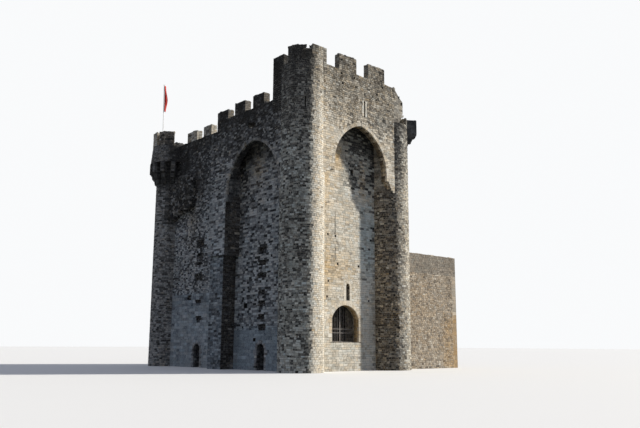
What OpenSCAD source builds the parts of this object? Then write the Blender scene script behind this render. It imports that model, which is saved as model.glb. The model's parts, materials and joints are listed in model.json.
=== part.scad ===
// Castle keep: two bays long and one bay wide, round towers at its corners, flat piers between the bays.
// Great pointed arches stand in front of the walls and leave an open slot behind them at the wall walk.
// Millimetres, +Z up. The origin is at the middle of the keep's plan, on its base.
// Inside the modules X runs to the right along the front and Y to the rear, from the front left tower's axis.

/* [Plan] */
// Distance between the axes of the two front towers
axis_w = 9600; // [9200:100:11600]
// Distance from the front towers' axes to the middle of the side piers
front_bay_l = 9400; // [9400:100:11000]
// Distance from the middle of the side piers to the rear towers' axes
rear_bay_l = 10400; // [9000:100:13000]
// Thickness of the keep's walls
wall_t = 1800; // [1750:50:2100]
// Radius of the front towers
front_tower_r = 1700; // [1640:20:1760]
// Radius of the rear towers
rear_tower_r = 1300; // [1250:20:1500]
// Distance from the wall's face to the outer face of the arches, front and sides
recess_d = 1500; // [1400:20:1550]
// Distance from the rear wall's face to the outer face of the rear arch
rear_recess_d = 1200; // [1150:20:1250]
// Thickness of the great arches
arch_t = 600; // [550:25:850]

/* [Levels] */
// Height of the gate's sill and of the hall floor
sill_z = 2200; // [1500:100:2600]
// Height of the main wall walk
walk_z = 19800; // [17500:100:21500]
// Height of the high front's walk above the main one
front_rise = 2700; // [2500:100:4000]
// Height of a crenel's sole above its walk
sole_h = 1000; // [800:50:1300]
// Height of a merlon above the sole, sides and rear
merlon_h = 1000; // [700:50:1400]
// Height of a merlon above the sole on the high front
front_merlon_h = 1300; // [900:50:1600]
// Thickness of the parapets
parapet_t = 600; // [450:25:640]
// Thickness of the parapet on the high front
front_parapet_t = 500; // [400:25:600]

/* [Great arches] */
// Rise of the front arch's point above a round arch
front_point = 650; // [300:50:1200]
// Depth of the front arch's crown below its walk
front_crown_down = 3200; // [2900:50:3600]
// Rise of a side arch's point above a round arch
side_point = 500; // [200:50:900]
// Depth of a side arch's crown below the wall walk
side_crown_down = 1700; // [1300:50:2200]
// Rise of the rear arch's point above a round arch
rear_point = 850; // [400:50:1200]
// Height of the foot of the widened upper part of a side pier
pier_head_z = 9200; // [7000:100:12000]
// Width of a side pier's lower part
pier_w = 1900; // [1500:50:2200]
// Distance from the wall's face to the face of a side pier's lower part
pier_d = 1250; // [1000:50:1350]

/* [Gate] */
// Width of the gate opening
gate_w = 2900; // [2400:50:3000]
// Height of the gate opening above its sill
gate_h = 2830; // [2500:10:2850]
// Rise of the gate's round head
gate_rise = 1050; // [900:50:1200]
// Depth of the gate's stone ring, in front of the leaves
gate_ring_t = 600; // [450:25:700]
// Room between the gate opening and the side of the passage behind it
passage_side = 300; // [280:10:400]
// Room between the gate opening and the top of the passage behind it
passage_over = 120; // [110:5:140]
// Lap of a leaf over the rear face of the gate's ring
leaf_lap = 80; // [40:5:90]
// Width of a leaf's frame bars
leaf_bar_w = 50; // [40:5:70]
// Thickness of a leaf's frame
leaf_t = 40; // [30:5:50]
// Thickness of a leaf's upright bars
leaf_rod_t = 24; // [16:2:30]
// Number of upright bars in a leaf, between its stiles
leaf_rods = 7; // [4:1:9]
// Gap between the two leaves, and under them
leaf_gap = 12; // [8:1:20]
// Radius of a hinge pin
pin_r = 15; // [10:1:20]
// Height of a hinge eye
eye_h = 70; // [50:5:100]

/* [Openings] */
// Width of the slit over the gate
slit_w = 380; // [250:10:450]
// Height of the slit over the gate
slit_h = 1340; // [1000:20:1600]
// Height of the slit's foot above the gate's head
slit_up = 370; // [330:10:500]
// Width of the arrow slit over the front arch
arrow_w = 150; // [100:10:200]
// Height of the arrow slit over the front arch
arrow_h = 1350; // [1000:50:1600]
// Width of a latrine outlet at the foot of a side wall
outlet_w = 1000; // [800:50:1300]
// Depth of a latrine outlet
outlet_d = 900; // [500:50:1200]
// Height of a latrine outlet's crown
outlet_z = 2050; // [1700:50:2400]

/* [Turrets and boxes] */
// Overhang of the foot of the rear turrets' heads
head_over = 630; // [500:10:700]
// Batter of the rear turrets' heads, from their foot to their merlons
head_batter = 150; // [0:10:200]
// Depth of the foot of the rear turrets' heads below the wall walk
head_foot_down = 700; // [500:50:900]
// Height of the rear turrets' corbels
corbel_h = 2100; // [1700:50:2300]
// Width of a corbel
corbel_w = 380; // [300:10:450]
// Number of corbels around a rear turret
corbels = 6; // [4:1:7]
// Width of the box that hangs on the front right tower
box_w = 1200; // [1000:50:1400]
// Distance that the box stands out from the tower
box_d = 750; // [600:50:900]
// Height of the box
box_h = 1200; // [900:50:1500]
// Thickness of the box's walls
box_t = 250; // [180:10:300]
// Diameter of the flagpole
pole_d = 70; // [50:5:100]
// Height of the flagpole
pole_h = 7400; // [5800:100:8400]
// Drop of the hanging flag
flag_drop = 2600; // [1800:50:2900]
// Width of the hanging flag's folds
flag_w = 360; // [260:10:480]
// Thickness of the hanging flag's folds
flag_t = 130; // [80:10:200]

/* [Side wall] */
// Length of the wall that joins the front right tower
side_wall_l = 7300; // [5000:100:9000]
// Height of that wall
side_wall_z = 9900; // [8000:100:11000]
// Thickness of that wall
side_wall_t = 1200; // [900:50:1400]
// Distance from the front towers' axis to that wall's face
side_wall_y = 200; // [150:10:250]

/* [Hidden] */
$fn = 180;

// Levels
keep_l = front_bay_l + rear_bay_l;
front_walk_z = walk_z + front_rise;
sole_z = walk_z + sole_h;
front_sole_z = front_walk_z + sole_h;
front_top_z = front_sole_z + front_merlon_h;
broken_z = walk_z + 700;
crown_h = 650;
crown_break = 700;
slot_w = recess_d - arch_t;
seat_gap = 0.3;
inner_w = axis_w - 2 * wall_t;

// Places along the front: the arch springs from the two towers
front_edge_left = front_tower_r + 250;
front_edge_right = axis_w - front_tower_r - 50;
front_arch_half = (front_edge_right - front_edge_left) / 2;
front_arch_mid = (front_edge_right + front_edge_left) / 2;
front_arch_rise = front_arch_half + front_point;
front_spring_z = front_walk_z - front_crown_down - front_arch_rise;
front_joint_left = front_tower_r;
front_joint_right = front_edge_right + 200;
front_foot_z = front_spring_z - 500;
front_arch_top_z = front_spring_z + front_arch_rise + 400;
arrow_off = 400;
arrow_down = 1000;
turret_end = front_joint_left - 570;
front_crenel_left = 770;
front_crenel_right = 350;
front_merlon_left_w = 1930;
front_merlon_right_w = 1950;
front_merlons = [
    [front_joint_left + front_crenel_left, front_joint_left + front_crenel_left + front_merlon_left_w],
    [front_joint_right - front_crenel_right - front_merlon_right_w, front_joint_right - front_crenel_right]
];
front_ledge_end = front_joint_right + 860;
break_out = 1050;
broken_h = front_sole_z - broken_z;

// Places along the sides: an arch springs from the front tower and from the pier
pier_near = front_bay_l - pier_w / 2 - 450;
pier_far = front_bay_l + pier_w / 2;
side_edge = front_tower_r - 700;
side_edge_far = pier_near - 200;
side_arch_half = (side_edge_far - side_edge) / 2;
side_arch_mid = (side_edge_far + side_edge) / 2;
side_arch_rise = side_arch_half + side_point;
side_spring_z = walk_z - side_crown_down - side_arch_rise;
side_joint = side_edge + 550;
side_foot_z = side_spring_z - 600;
spring_taper = 400;
hole_off = 230;
spring_drop = 1100;
root_drop = 200;

// Middles of the outlets at the foot of the bays
front_outlet_mid = front_bay_l / 2 + 150;
rear_outlet_mid = keep_l - 5750;

// Pockets in the left side's walls where stones have fallen out: place along the wall, level, width and height
pocket_d = 260;
front_pockets = [
    [front_outlet_mid - 50, 9400, 1150, 600], [front_outlet_mid - 100, 8400, 1100, 420],
    [front_outlet_mid, 7400, 1100, 420], [front_outlet_mid - 50, 6050, 900, 400],
    [front_outlet_mid - 100, 5180, 950, 450], [front_outlet_mid - 20, 4140, 780, 400],
    [front_outlet_mid - 150, 3300, 850, 480], [front_outlet_mid + 2080, 5060, 480, 400],
    [front_outlet_mid + 800, 2350, 330, 260]
];
rear_pockets = [
    [rear_outlet_mid - 50, 10850, 1150, 750], [rear_outlet_mid - 100, 9750, 1100, 520],
    [rear_outlet_mid - 80, 9060, 950, 300], [rear_outlet_mid + 50, 7850, 1300, 620],
    [rear_outlet_mid, 5700, 900, 280], [rear_outlet_mid - 200, 4250, 900, 360],
    [rear_outlet_mid + 1500, 6100, 600, 420]
];

// Holes of the scaffold's poles: place along the front, level and side
putlog_d = 350;
recess_putlogs = [
    [2670, 10440, 160], [3470, 10370, 160], [3720, 8190, 170], [2210, 7910, 150], [2720, 6800, 150],
    [2590, 5610, 160], [6020, 8170, 180], [6980, 7950, 140], [7150, 5460, 160], [5280, 15830, 320],
    [7550, 15870, 220]
];
parapet_putlogs = [
    [front_merlons[0][0] + 270, front_sole_z + 830, 150], [front_merlons[0][1] - 290, front_sole_z + 850, 150],
    [front_merlons[1][1] - 110, front_sole_z + 900, 140], [front_merlons[0][0] + 260, front_sole_z - 290, 170],
    [front_merlons[0][1] - 240, front_sole_z - 330, 160], [front_merlons[1][0] + 220, front_sole_z - 370, 150],
    [front_merlons[1][1] - 240, front_sole_z - 340, 150]
];
arch_putlogs = [
    [front_arch_mid - 2050, front_walk_z - 110, 160], [front_arch_mid + 1870, front_walk_z - 110, 170]
];
drum_putlogs = [
    [236.6, 5950, 160], [241, 4800, 140], [248.4, 3350, 170], [270.8, 10500, 130], [213.8, 6350, 150]
];

// The high front turns back along the left side
return_start = side_joint - 950;
return_end = side_joint + 320;
return_top_z = front_top_z - 550;
turret_dip = 520;
return_dip_z = front_sole_z - 250;

// Merlons of the sides and the rear
side_merlon_w = 1430;
side_crenel_w = 1100;
pier_merlon_w = 1550;
side_merlon_end = pier_near - 1000;
left_merlons = [
    [side_merlon_end - 2 * side_merlon_w - side_crenel_w, side_merlon_end - side_merlon_w - side_crenel_w],
    [side_merlon_end - side_merlon_w, side_merlon_end],
    [pier_near, pier_near + pier_merlon_w, 180]
];
left_parapet_end = pier_near + pier_merlon_w;
corner_merlon_w = 750;
right_merlons = concat([[side_joint, side_joint + corner_merlon_w]], left_merlons);
rear_bay_merlon_end = keep_l - 2900;
rear_bay_merlon_w = 1600;
rear_bay_merlon_near_w = 1250;
rear_bay_crenel_w = 1200;
rear_bay_merlons = [
    [rear_bay_merlon_end - rear_bay_merlon_w - rear_bay_crenel_w - rear_bay_merlon_near_w,
     rear_bay_merlon_end - rear_bay_merlon_w - rear_bay_crenel_w],
    [rear_bay_merlon_end - rear_bay_merlon_w, rear_bay_merlon_end]
];
rear_merlon_w = 1400;
rear_merlon_pitch = 2200;
rear_merlons = [
    for (i = [-1.5 : 1 : 1.5])
        [axis_w / 2 + i * rear_merlon_pitch - rear_merlon_w / 2,
         axis_w / 2 + i * rear_merlon_pitch + rear_merlon_w / 2]
];
rear_merlon_extra = -50;
rear_arch_t = arch_t - 100;
drum_joint = rear_tower_r + 300;
rear_edge = rear_tower_r + 400;
rear_arch_half = axis_w / 2 - rear_edge;
rear_arch_rise = rear_arch_half + rear_point;
rear_parapet_end = keep_l - rear_tower_r + 100;

// Blind slit in the front left tower
slit_turn = 236;
blind_slit_w = 120;
blind_slit_h = 900;
blind_slit_d = 700;

// What is left of the fallen arch on the rear left tower
torn_reach = 4800;
torn_h = 4300;
torn_out = 600;

// Box on the front right tower
box_z = broken_z - 600;
box_turn = -32;
box_corbel_h = 1000;

// Flagpole
pole_x = -rear_tower_r + 300;
pole_lean = 1.1;
flag_down = 120;
flag_turn = -42;

// Rear turrets
head_foot_z = walk_z - head_foot_down;
corbel_z = head_foot_z - corbel_h;
head_inner_r = rear_recess_d - 100;
corbel_first = 95;
corbel_sweep = 151;
corbel_out = 70;
turret_merlon_h = merlon_h + 300;

// Distance that the front right tower's stones reach into the side wall
toothing = 200;

// The gate
gate_off = 240;
gate_mid = axis_w / 2 - gate_off;
slit_off = 260;
slit_throat = 400;
slit_splay = 450;
gate_top_z = sill_z + gate_h;
gate_r = (pow(gate_w / 2, 2) + pow(gate_rise, 2)) / (2 * gate_rise);
gate_centre_z = gate_top_z - gate_r;
passage_w = gate_w + 2 * passage_side;
passage_z = gate_top_z + passage_over;
leaf_r = gate_r + leaf_lap;
leaf_set_back = 40;
leaf_y = gate_ring_t + leaf_set_back;
leaf_edge = gate_w / 2 + 120;
hinge_x = leaf_edge + 30;
hinge_y = leaf_y + leaf_t + 25;
pin_clear = 0.1;
eye_wall = 14;
eye_r = pin_r + eye_wall;
hinge_low = 350;
hinge_high = 1150;
hinge_heights = [sill_z + hinge_low, sill_z + hinge_high];
rail_low = 700;
rail_high = 1000;
rail_heights = [sill_z + rail_low, sill_z + rail_high];

// The hall
vault_spring_down = 4100;
vault_spring_z = walk_z - vault_spring_down;
vault_edge = 150;
vault_upright = 200;
vault_rise = 3200;
terrace_t = 300;
vault_top_z = walk_z - terrace_t;

// Colours of the stone, iron and cloth
stone_sun = [0.74, 0.70, 0.61];
stone_cool = [0.60, 0.60, 0.58];
stone_dark = [0.47, 0.46, 0.43];
stone_new = [0.70, 0.62, 0.50];
iron = [0.28, 0.27, 0.27];
pole_grey = [0.55, 0.56, 0.58];
flag_red = [0.75, 0.12, 0.10];

// Puts the plan's middle on the origin
module in_plan() {
    translate([-axis_w / 2, -keep_l / 2, 0]) children();
}

// Mirrors a piece of the left side onto the right side
module to_right() {
    translate([axis_w, 0, 0]) mirror([1, 0, 0]) children();
}

// Block between two corners
module block(low, high) {
    translate(low) cube([high[0] - low[0], high[1] - low[1], high[2] - low[2]]);
}

// Extrudes an outline drawn in X and Z between two places along Y
module along_y(y0, y1) {
    translate([0, y1, 0]) rotate([90, 0, 0]) linear_extrude(y1 - y0) children();
}

// Extrudes an outline drawn in Y and Z between two places along X
module along_x(x0, x1) {
    translate([x0, 0, 0]) rotate([90, 0, 90]) linear_extrude(x1 - x0) children();
}

// Rectangle between two corners
module rect(low, high) {
    translate(low) square([high[0] - low[0], high[1] - low[1]]);
}

// Radius of each arc of a pointed arch
function arch_r(half, rise) = (half * half + rise * rise) / (2 * half);

// Opening of a pointed arch, from a foot level up to its crown
module pointed_opening(mid, half, rise, spring, foot) {
    r = arch_r(half, rise);
    intersection() {
        translate([mid - half + r, spring]) circle(r, $fn = 256);
        translate([mid + half - r, spring]) circle(r, $fn = 256);
        rect([mid - half, spring - 1], [mid + half, spring + rise + 1]);
    }
    rect([mid - half, foot - 10], [mid + half, spring]);
}

// Wall of one great arch, drawn flat
module arch_face(mid, half, rise, spring, start, end, foot, top) {
    difference() {
        rect([start, foot], [end, top]);
        pointed_opening(mid, half, rise, spring, foot);
    }
}

// Parapet drawn flat: a low wall with merlons on it, some of them worn down by their third number
module parapet_face(start, end, walk, sole, top, merlons) {
    rect([start, walk], [end, sole]);
    for (m = merlons) rect([m[0], sole - 10], [m[1], top - (len(m) > 2 ? m[2] : 0)]);
}

// Square hole of a scaffold's pole in a face that looks to the front
module putlog(p, face_y) {
    half = p[2] / 2;
    block([p[0] - half, face_y - 10, p[1] - half], [p[0] + half, face_y + putlog_d, p[1] + half]);
}

// Plan of a corner tower: the round drum and the corner of the walls behind it
module tower_plan(r) {
    circle(r);
    square([wall_t, wall_t]);
}

// Springer of a side arch, from the tower's drum to the joint with the arch
module side_springer() {
    along_x(-recess_d, -slot_w) difference() {
        polygon([[0, side_foot_z - spring_drop - root_drop],
                 [side_edge - spring_taper, side_foot_z - spring_drop], [side_edge, side_foot_z],
                 [side_joint, side_foot_z], [side_joint, walk_z], [0, walk_z]]);
        pointed_opening(side_arch_mid, side_arch_half, side_arch_rise, side_spring_z, side_foot_z);
    }
}

// Springers that stand out of the front left tower, for the front arch and the left arch
module left_springers() {
    along_y(-recess_d, -slot_w)
        polygon([[0, front_foot_z - 300], [front_joint_left - 700, front_foot_z - 300],
                 [front_joint_left, front_foot_z], [front_joint_left, front_walk_z], [0, front_walk_z]]);
    side_springer();
}

module tower_front_left() {
    color(stone_sun) in_plan() {
        difference() {
            union() {
                linear_extrude(front_walk_z) tower_plan(front_tower_r);
                left_springers();
                // Upper stretch of the side springer, beside the high front's return
                block([-recess_d, 0, walk_z - 10], [-slot_w, side_joint, front_walk_z]);
            }
            // Blind slit that looks to the front left
            rotate([0, 0, slit_turn])
                translate([front_tower_r - blind_slit_d, -blind_slit_w / 2, walk_z - 300])
                cube([2 * blind_slit_d, blind_slit_w, blind_slit_h]);
        }
    }
}

module tower_front_right() {
    color(stone_sun) in_plan() translate([axis_w, 0, 0]) {
        difference() {
            mirror([1, 0, 0]) linear_extrude(broken_z) tower_plan(front_tower_r);
            for (p = drum_putlogs)
                rotate([0, 0, p[0]]) translate([front_tower_r - putlog_d, -p[2] / 2, p[1] - p[2] / 2])
                    cube([2 * putlog_d, p[2], p[2]]);
        }
        // Springer of the front arch
        along_y(-recess_d, -slot_w)
            polygon([[0, front_foot_z - 1100], [550 - front_tower_r, front_foot_z - 750],
                     [front_joint_right - axis_w, front_foot_z],
                     [front_joint_right - axis_w, broken_z], [0, broken_z]]);
        // Springer of the right arch
        mirror([1, 0, 0]) side_springer();
        // Toothing for the side wall
        block([0, side_wall_y, 0], [front_tower_r + toothing, side_wall_y + side_wall_t, side_wall_z]);
    }
}

// Stub of the fallen arch that springs from the rear left tower
module torn_springer() {
    foot = side_foot_z - root_drop - 200;
    reach = torn_reach;
    top = torn_h;
    along_x(-torn_out, 0)
        polygon([[-0.1 * reach, foot], [-0.33 * reach, foot + 0.09 * top], [-0.52 * reach, foot + 0.19 * top],
                 [-0.75 * reach, foot + 0.23 * top], [-0.96 * reach, foot + 0.3 * top],
                 [-reach, foot + 0.56 * top], [-0.94 * reach, foot + 0.86 * top],
                 [-0.8 * reach, foot + 0.95 * top], [-0.6 * reach, foot + top],
                 [-0.46 * reach, foot + 0.95 * top], [-0.42 * reach, foot + 0.86 * top],
                 [-0.1 * reach, foot + 0.86 * top]]);
}

module rear_tower_solid() {
    linear_extrude(walk_z) union() {
        circle(rear_tower_r);
        translate([0, -wall_t]) square([wall_t, wall_t]);
    }
    // Springer of the rear arch
    along_y(rear_recess_d - rear_arch_t, rear_recess_d)
        polygon([[0, side_foot_z - 600], [rear_tower_r, side_foot_z - 400], [drum_joint, side_foot_z],
                 [drum_joint, walk_z], [0, walk_z]]);
}

module tower_rear_left() {
    color(stone_dark) in_plan() translate([0, keep_l, 0]) {
        rear_tower_solid();
        torn_springer();
    }
}

module tower_rear_right() {
    color(stone_cool) in_plan() to_right() translate([0, keep_l, 0]) rear_tower_solid();
}

// Flat pier between the two bays of a side: narrow below, full depth and wider above
module pier() {
    block([-pier_d, front_bay_l - pier_w / 2, 0], [0, front_bay_l + pier_w / 2, pier_head_z]);
    block([-recess_d, pier_near, pier_head_z], [0, pier_far, walk_z]);
    block([0, front_bay_l - pier_w / 2, 0], [wall_t, front_bay_l + pier_w / 2, walk_z]);
}

module pier_left() {
    color(stone_cool) in_plan() pier();
}

module pier_right() {
    color(stone_cool) in_plan() to_right() pier();
}

// Opening of the gate: straight jambs and a round head
module gate_outline(extra) {
    r = gate_r + extra;
    half = gate_w / 2 + extra;
    intersection() {
        translate([gate_mid, gate_centre_z]) circle(r);
        rect([gate_mid - half, gate_centre_z], [gate_mid + half, gate_centre_z + r + 1]);
    }
    rect([gate_mid - half, sill_z - 10], [gate_mid + half, gate_centre_z + 1]);
}

// Ring of stone around the gate, in front of the leaves
module gate_arch() {
    color(stone_sun) in_plan() along_y(0, gate_ring_t) difference() {
        rect([gate_mid - passage_w / 2, sill_z], [gate_mid + passage_w / 2, passage_z]);
        gate_outline(0);
    }
}

module gate_threshold() {
    color(stone_sun) in_plan()
        block([gate_mid - passage_w / 2, 0, 0], [gate_mid + passage_w / 2, wall_t, sill_z]);
}

module front_wall_left() {
    color(stone_sun) in_plan() block([wall_t, 0, 0], [gate_mid - passage_w / 2, wall_t, passage_z]);
}

module front_wall_right() {
    color(stone_sun) in_plan() block([gate_mid + passage_w / 2, 0, 0], [axis_w - wall_t, wall_t, passage_z]);
}

// The wall over the gate, with a slit that widens towards the hall
module front_wall_over_gate() {
    slit_x = gate_mid + slit_off;
    foot = gate_top_z + slit_up;
    color(stone_sun) in_plan() difference() {
        block([wall_t, 0, passage_z], [axis_w - wall_t, wall_t, front_walk_z]);
        for (p = recess_putlogs) putlog(p, 0);
        translate([slit_x, 0, foot]) {
            along_y(-10, slit_throat + 20) {
                translate([0, slit_h - slit_w / 2]) circle(slit_w / 2);
                rect([-slit_w / 2, 0], [slit_w / 2, slit_h - slit_w / 2]);
            }
            linear_extrude(slit_h)
                polygon([[-slit_w / 2, slit_throat], [slit_w / 2, slit_throat],
                         [slit_w / 2 + slit_splay, wall_t + 10], [-slit_w / 2 - slit_splay, wall_t + 10]]);
        }
    }
}

// Side wall of one bay with a latrine outlet at its foot, and the pockets where stones have fallen out over it
module bay_wall(start, end, outlet_mid, pockets) {
    difference() {
        block([0, start, 0], [wall_t, end, walk_z]);
        for (p = pockets)
            block([-10, p[0] - p[2] / 2, p[1] - p[3] / 2], [pocket_d, p[0] + p[2] / 2, p[1] + p[3] / 2]);
        along_x(-10, outlet_d) {
            translate([outlet_mid, outlet_z - outlet_w / 2]) circle(outlet_w / 2);
            rect([outlet_mid - outlet_w / 2, -10], [outlet_mid + outlet_w / 2, outlet_z - outlet_w / 2]);
        }
    }
}

module front_bay_wall(pockets) {
    bay_wall(wall_t, front_bay_l - pier_w / 2, front_outlet_mid, pockets);
}

module rear_bay_wall(pockets) {
    bay_wall(front_bay_l + pier_w / 2, keep_l - wall_t, rear_outlet_mid, pockets);
}

module left_wall_front_bay() {
    color(stone_cool) in_plan() front_bay_wall(front_pockets);
}

module left_wall_rear_bay() {
    color(stone_cool) in_plan() rear_bay_wall(rear_pockets);
}

module right_wall_front_bay() {
    color(stone_cool) in_plan() to_right() front_bay_wall([]);
}

module right_wall_rear_bay() {
    color(stone_cool) in_plan() to_right() rear_bay_wall([]);
}

module rear_wall() {
    color(stone_cool) in_plan() block([wall_t, keep_l - wall_t, 0], [axis_w - wall_t, keep_l, walk_z]);
}

// Front arch, up to the course over its point
module front_arch() {
    color(stone_sun) in_plan() along_y(-recess_d, -slot_w)
        arch_face(front_arch_mid, front_arch_half, front_arch_rise, front_spring_z,
                  front_joint_left, front_joint_right, front_foot_z, front_arch_top_z);
}

// Wall on the front arch, carried up to the high front's walk, with its arrow slit
module front_wall_over_arch() {
    arrow_x = front_arch_mid + arrow_off;
    arrow_z = front_walk_z - arrow_down - arrow_h;
    color(stone_sun) in_plan() along_y(-recess_d, -slot_w) difference() {
        rect([front_joint_left, front_arch_top_z], [front_joint_right, front_walk_z]);
        rect([arrow_x - arrow_w / 2, arrow_z], [arrow_x + arrow_w / 2, arrow_z + arrow_h]);
        // Holes of the scaffold's poles, through the wall
        for (p = arch_putlogs) rect([p[0] - p[2] / 2, p[1] - p[2] / 2], [p[0] + p[2] / 2, p[1] + p[2] / 2]);
    }
}

module side_arch_face() {
    arch_face(side_arch_mid, side_arch_half, side_arch_rise, side_spring_z,
              side_joint, pier_near, side_foot_z, walk_z);
}

// Left arch, with the hole that has broken through under its parapet
module left_arch() {
    hole_mid = side_arch_mid + hole_off;
    color(stone_cool) in_plan() along_x(-recess_d, -slot_w) difference() {
        side_arch_face();
        polygon([[hole_mid - 640, walk_z - 480], [hole_mid - 250, walk_z - 620],
                 [hole_mid + 350, walk_z - 560], [hole_mid + 640, walk_z - 300],
                 [hole_mid + 420, walk_z - 90], [hole_mid - 400, walk_z - 110]]);
    }
}

module right_arch() {
    color(stone_cool) in_plan() to_right() along_x(-recess_d, -slot_w) side_arch_face();
}

module rear_arch() {
    color(stone_cool) in_plan() along_y(keep_l + rear_recess_d - rear_arch_t, keep_l + rear_recess_d)
        arch_face(axis_w / 2, rear_arch_half, rear_arch_rise, side_spring_z,
                  drum_joint, axis_w - drum_joint, side_foot_z, walk_z);
}

// Parapet of the high front, from the left turret to the broken end
module front_parapet() {
    color(stone_sun) in_plan() difference() {
        along_y(-recess_d, front_parapet_t - recess_d)
            parapet_face(turret_end, front_joint_right, front_walk_z, front_sole_z, front_top_z,
                         front_merlons);
        for (p = parapet_putlogs) putlog(p, -recess_d);
    }
}

// What is left of the high front over the right tower
module broken_front_end() {
    color(stone_sun) in_plan() along_y(-recess_d, -slot_w)
        polygon([[front_joint_right, broken_z], [front_ledge_end + 0.55 * break_out, broken_z],
                 [front_ledge_end + 0.85 * break_out, broken_z + 0.2 * broken_h],
                 [front_ledge_end + break_out, broken_z + 0.38 * broken_h],
                 [front_ledge_end + break_out, broken_z + 0.65 * broken_h],
                 [front_ledge_end + 0.47 * break_out, broken_z + 0.81 * broken_h],
                 [front_ledge_end, front_sole_z], [front_joint_right, front_sole_z]]);
}

// Parapet that follows the outside of the front left tower
module turret_ring(walk, top, from, to) {
    translate([0, 0, walk]) linear_extrude(top - walk) intersection() {
        difference() {
            circle(front_tower_r);
            circle(front_tower_r - parapet_t);
            translate([parapet_t - recess_d, parapet_t - recess_d]) square(4 * front_tower_r);
        }
        polygon([[0, 0], for (a = [from : (to - from) / 6 : to]) 3 * front_tower_r * [cos(a), sin(a)]]);
    }
}

module turret_parapet_front_left() {
    dip_z = front_top_z - turret_dip;
    color(stone_sun) in_plan() {
        turret_ring(front_walk_z, return_dip_z, 150, 300);
        turret_ring(return_dip_z - 10, dip_z, 186, 300);
        turret_ring(dip_z - 10, front_top_z - 250, 186, 237);
        turret_ring(dip_z - 10, front_top_z - 100, 255, 300);
        block([0, -recess_d, front_walk_z], [turret_end, front_parapet_t - recess_d, front_top_z]);
        block([-recess_d, 0, front_walk_z], [parapet_t - recess_d, side_joint, return_dip_z]);
        block([-recess_d, return_start, return_dip_z - 10], [parapet_t - recess_d, return_end, return_top_z]);
        // Short wall where the high front turns back along the left side
        block([-recess_d, side_joint, walk_z], [parapet_t - recess_d, return_end, return_top_z]);
    }
}

// Broken crown of the front right tower, beside the high front's end
module tower_crown_front_right() {
    color(stone_sun) in_plan() translate([axis_w, 0, broken_z]) linear_extrude(crown_h) difference() {
        mirror([1, 0]) tower_plan(front_tower_r);
        translate([-2 * front_tower_r, -2 * front_tower_r])
            square([2 * front_tower_r + crown_break, 2 * front_tower_r - slot_w + 50]);
    }
}

module left_parapet() {
    color(stone_cool) in_plan() along_x(-recess_d, parapet_t - recess_d)
        parapet_face(return_end, left_parapet_end, walk_z, sole_z, sole_z + merlon_h, left_merlons);
}

module rear_bay_parapet() {
    along_x(0, parapet_t)
        parapet_face(pier_far, rear_parapet_end, walk_z, sole_z, sole_z + merlon_h + rear_merlon_extra,
                     rear_bay_merlons);
}

module left_rear_parapet() {
    color(stone_cool) in_plan() rear_bay_parapet();
}

module right_parapet() {
    color(stone_cool) in_plan() to_right() along_x(-recess_d, parapet_t - recess_d)
        parapet_face(side_joint, left_parapet_end, walk_z, sole_z, sole_z + merlon_h, right_merlons);
}

module right_rear_parapet() {
    color(stone_cool) in_plan() to_right() rear_bay_parapet();
}

module rear_parapet() {
    outer = keep_l + rear_recess_d;
    color(stone_cool) in_plan() along_y(outer - parapet_t, outer)
        parapet_face(0, axis_w, walk_z, sole_z, sole_z + merlon_h, rear_merlons);
}

// Sector of a circle between two angles, for cutting merlons out of a ring
module sector(r, from, to) {
    polygon([[0, 0], for (a = [from : (to - from) / 8 : to]) 2 * r * [cos(a), sin(a)]]);
}

// Head of a rear turret: a battered round parapet that overhangs its tower, with merlons, open to the walks
module turret_head() {
    foot_r = rear_tower_r + head_over;
    top_r = foot_r - head_batter;
    difference() {
        union() {
            translate([0, 0, head_foot_z]) cylinder(r1 = foot_r, r2 = top_r, h = sole_z - head_foot_z);
            for (span = [[100, 128], [150, 186], [197, 247]])
                translate([0, 0, sole_z - 10]) linear_extrude(turret_merlon_h + 10) intersection() {
                    circle(top_r);
                    sector(top_r, span[0], span[1]);
                }
        }
        translate([0, 0, head_foot_z - 10]) cylinder(r = head_inner_r, h = 2 * walk_z);
        translate([0, -2 * foot_r, head_foot_z - 10]) cube([2 * foot_r, 4 * foot_r, 2 * walk_z]);
        // The tower fills the ring up to the walk
        translate([0, 0, head_foot_z - 10]) cylinder(r = rear_tower_r, h = head_foot_down + 10);
    }
}

// Side of one corbel, drawn out from the tower's axis
module corbel_outline() {
    out = head_over + corbel_out;
    root = rear_tower_r - 60;
    polygon([[root, 0], [rear_tower_r + out * 0.24, 0.05 * corbel_h],
             [rear_tower_r + out * 0.34, 0.22 * corbel_h], [rear_tower_r + out * 0.62, 0.3 * corbel_h],
             [rear_tower_r + out * 0.7, 0.46 * corbel_h],
             [rear_tower_r + out, 0.54 * corbel_h], [rear_tower_r + out, corbel_h], [root, corbel_h]]);
}

// Corbels that carry a rear turret's head
module turret_corbels() {
    difference() {
        intersection() {
            for (i = [0 : corbels - 1])
                rotate([0, 0, corbel_first + i * corbel_sweep / (corbels - 1)])
                    translate([0, -corbel_w / 2, corbel_z]) along_y(0, corbel_w) corbel_outline();
            translate([0, 0, corbel_z - 10])
                cylinder(r = rear_tower_r + head_over + corbel_out, h = corbel_h + 10 - seat_gap);
        }
        translate([0, 0, corbel_z - 20]) cylinder(r = rear_tower_r + seat_gap, h = corbel_h + 40);
    }
}

module turret_head_rear_left() {
    color(stone_dark) in_plan() translate([0, keep_l, 0]) turret_head();
}

module turret_head_rear_right() {
    color(stone_cool) in_plan() to_right() translate([0, keep_l, 0]) turret_head();
}

module turret_corbels_rear_left() {
    color(stone_dark) in_plan() translate([0, keep_l, 0]) turret_corbels();
}

module turret_corbels_rear_right() {
    color(stone_cool) in_plan() to_right() translate([0, keep_l, 0]) turret_corbels();
}

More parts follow.
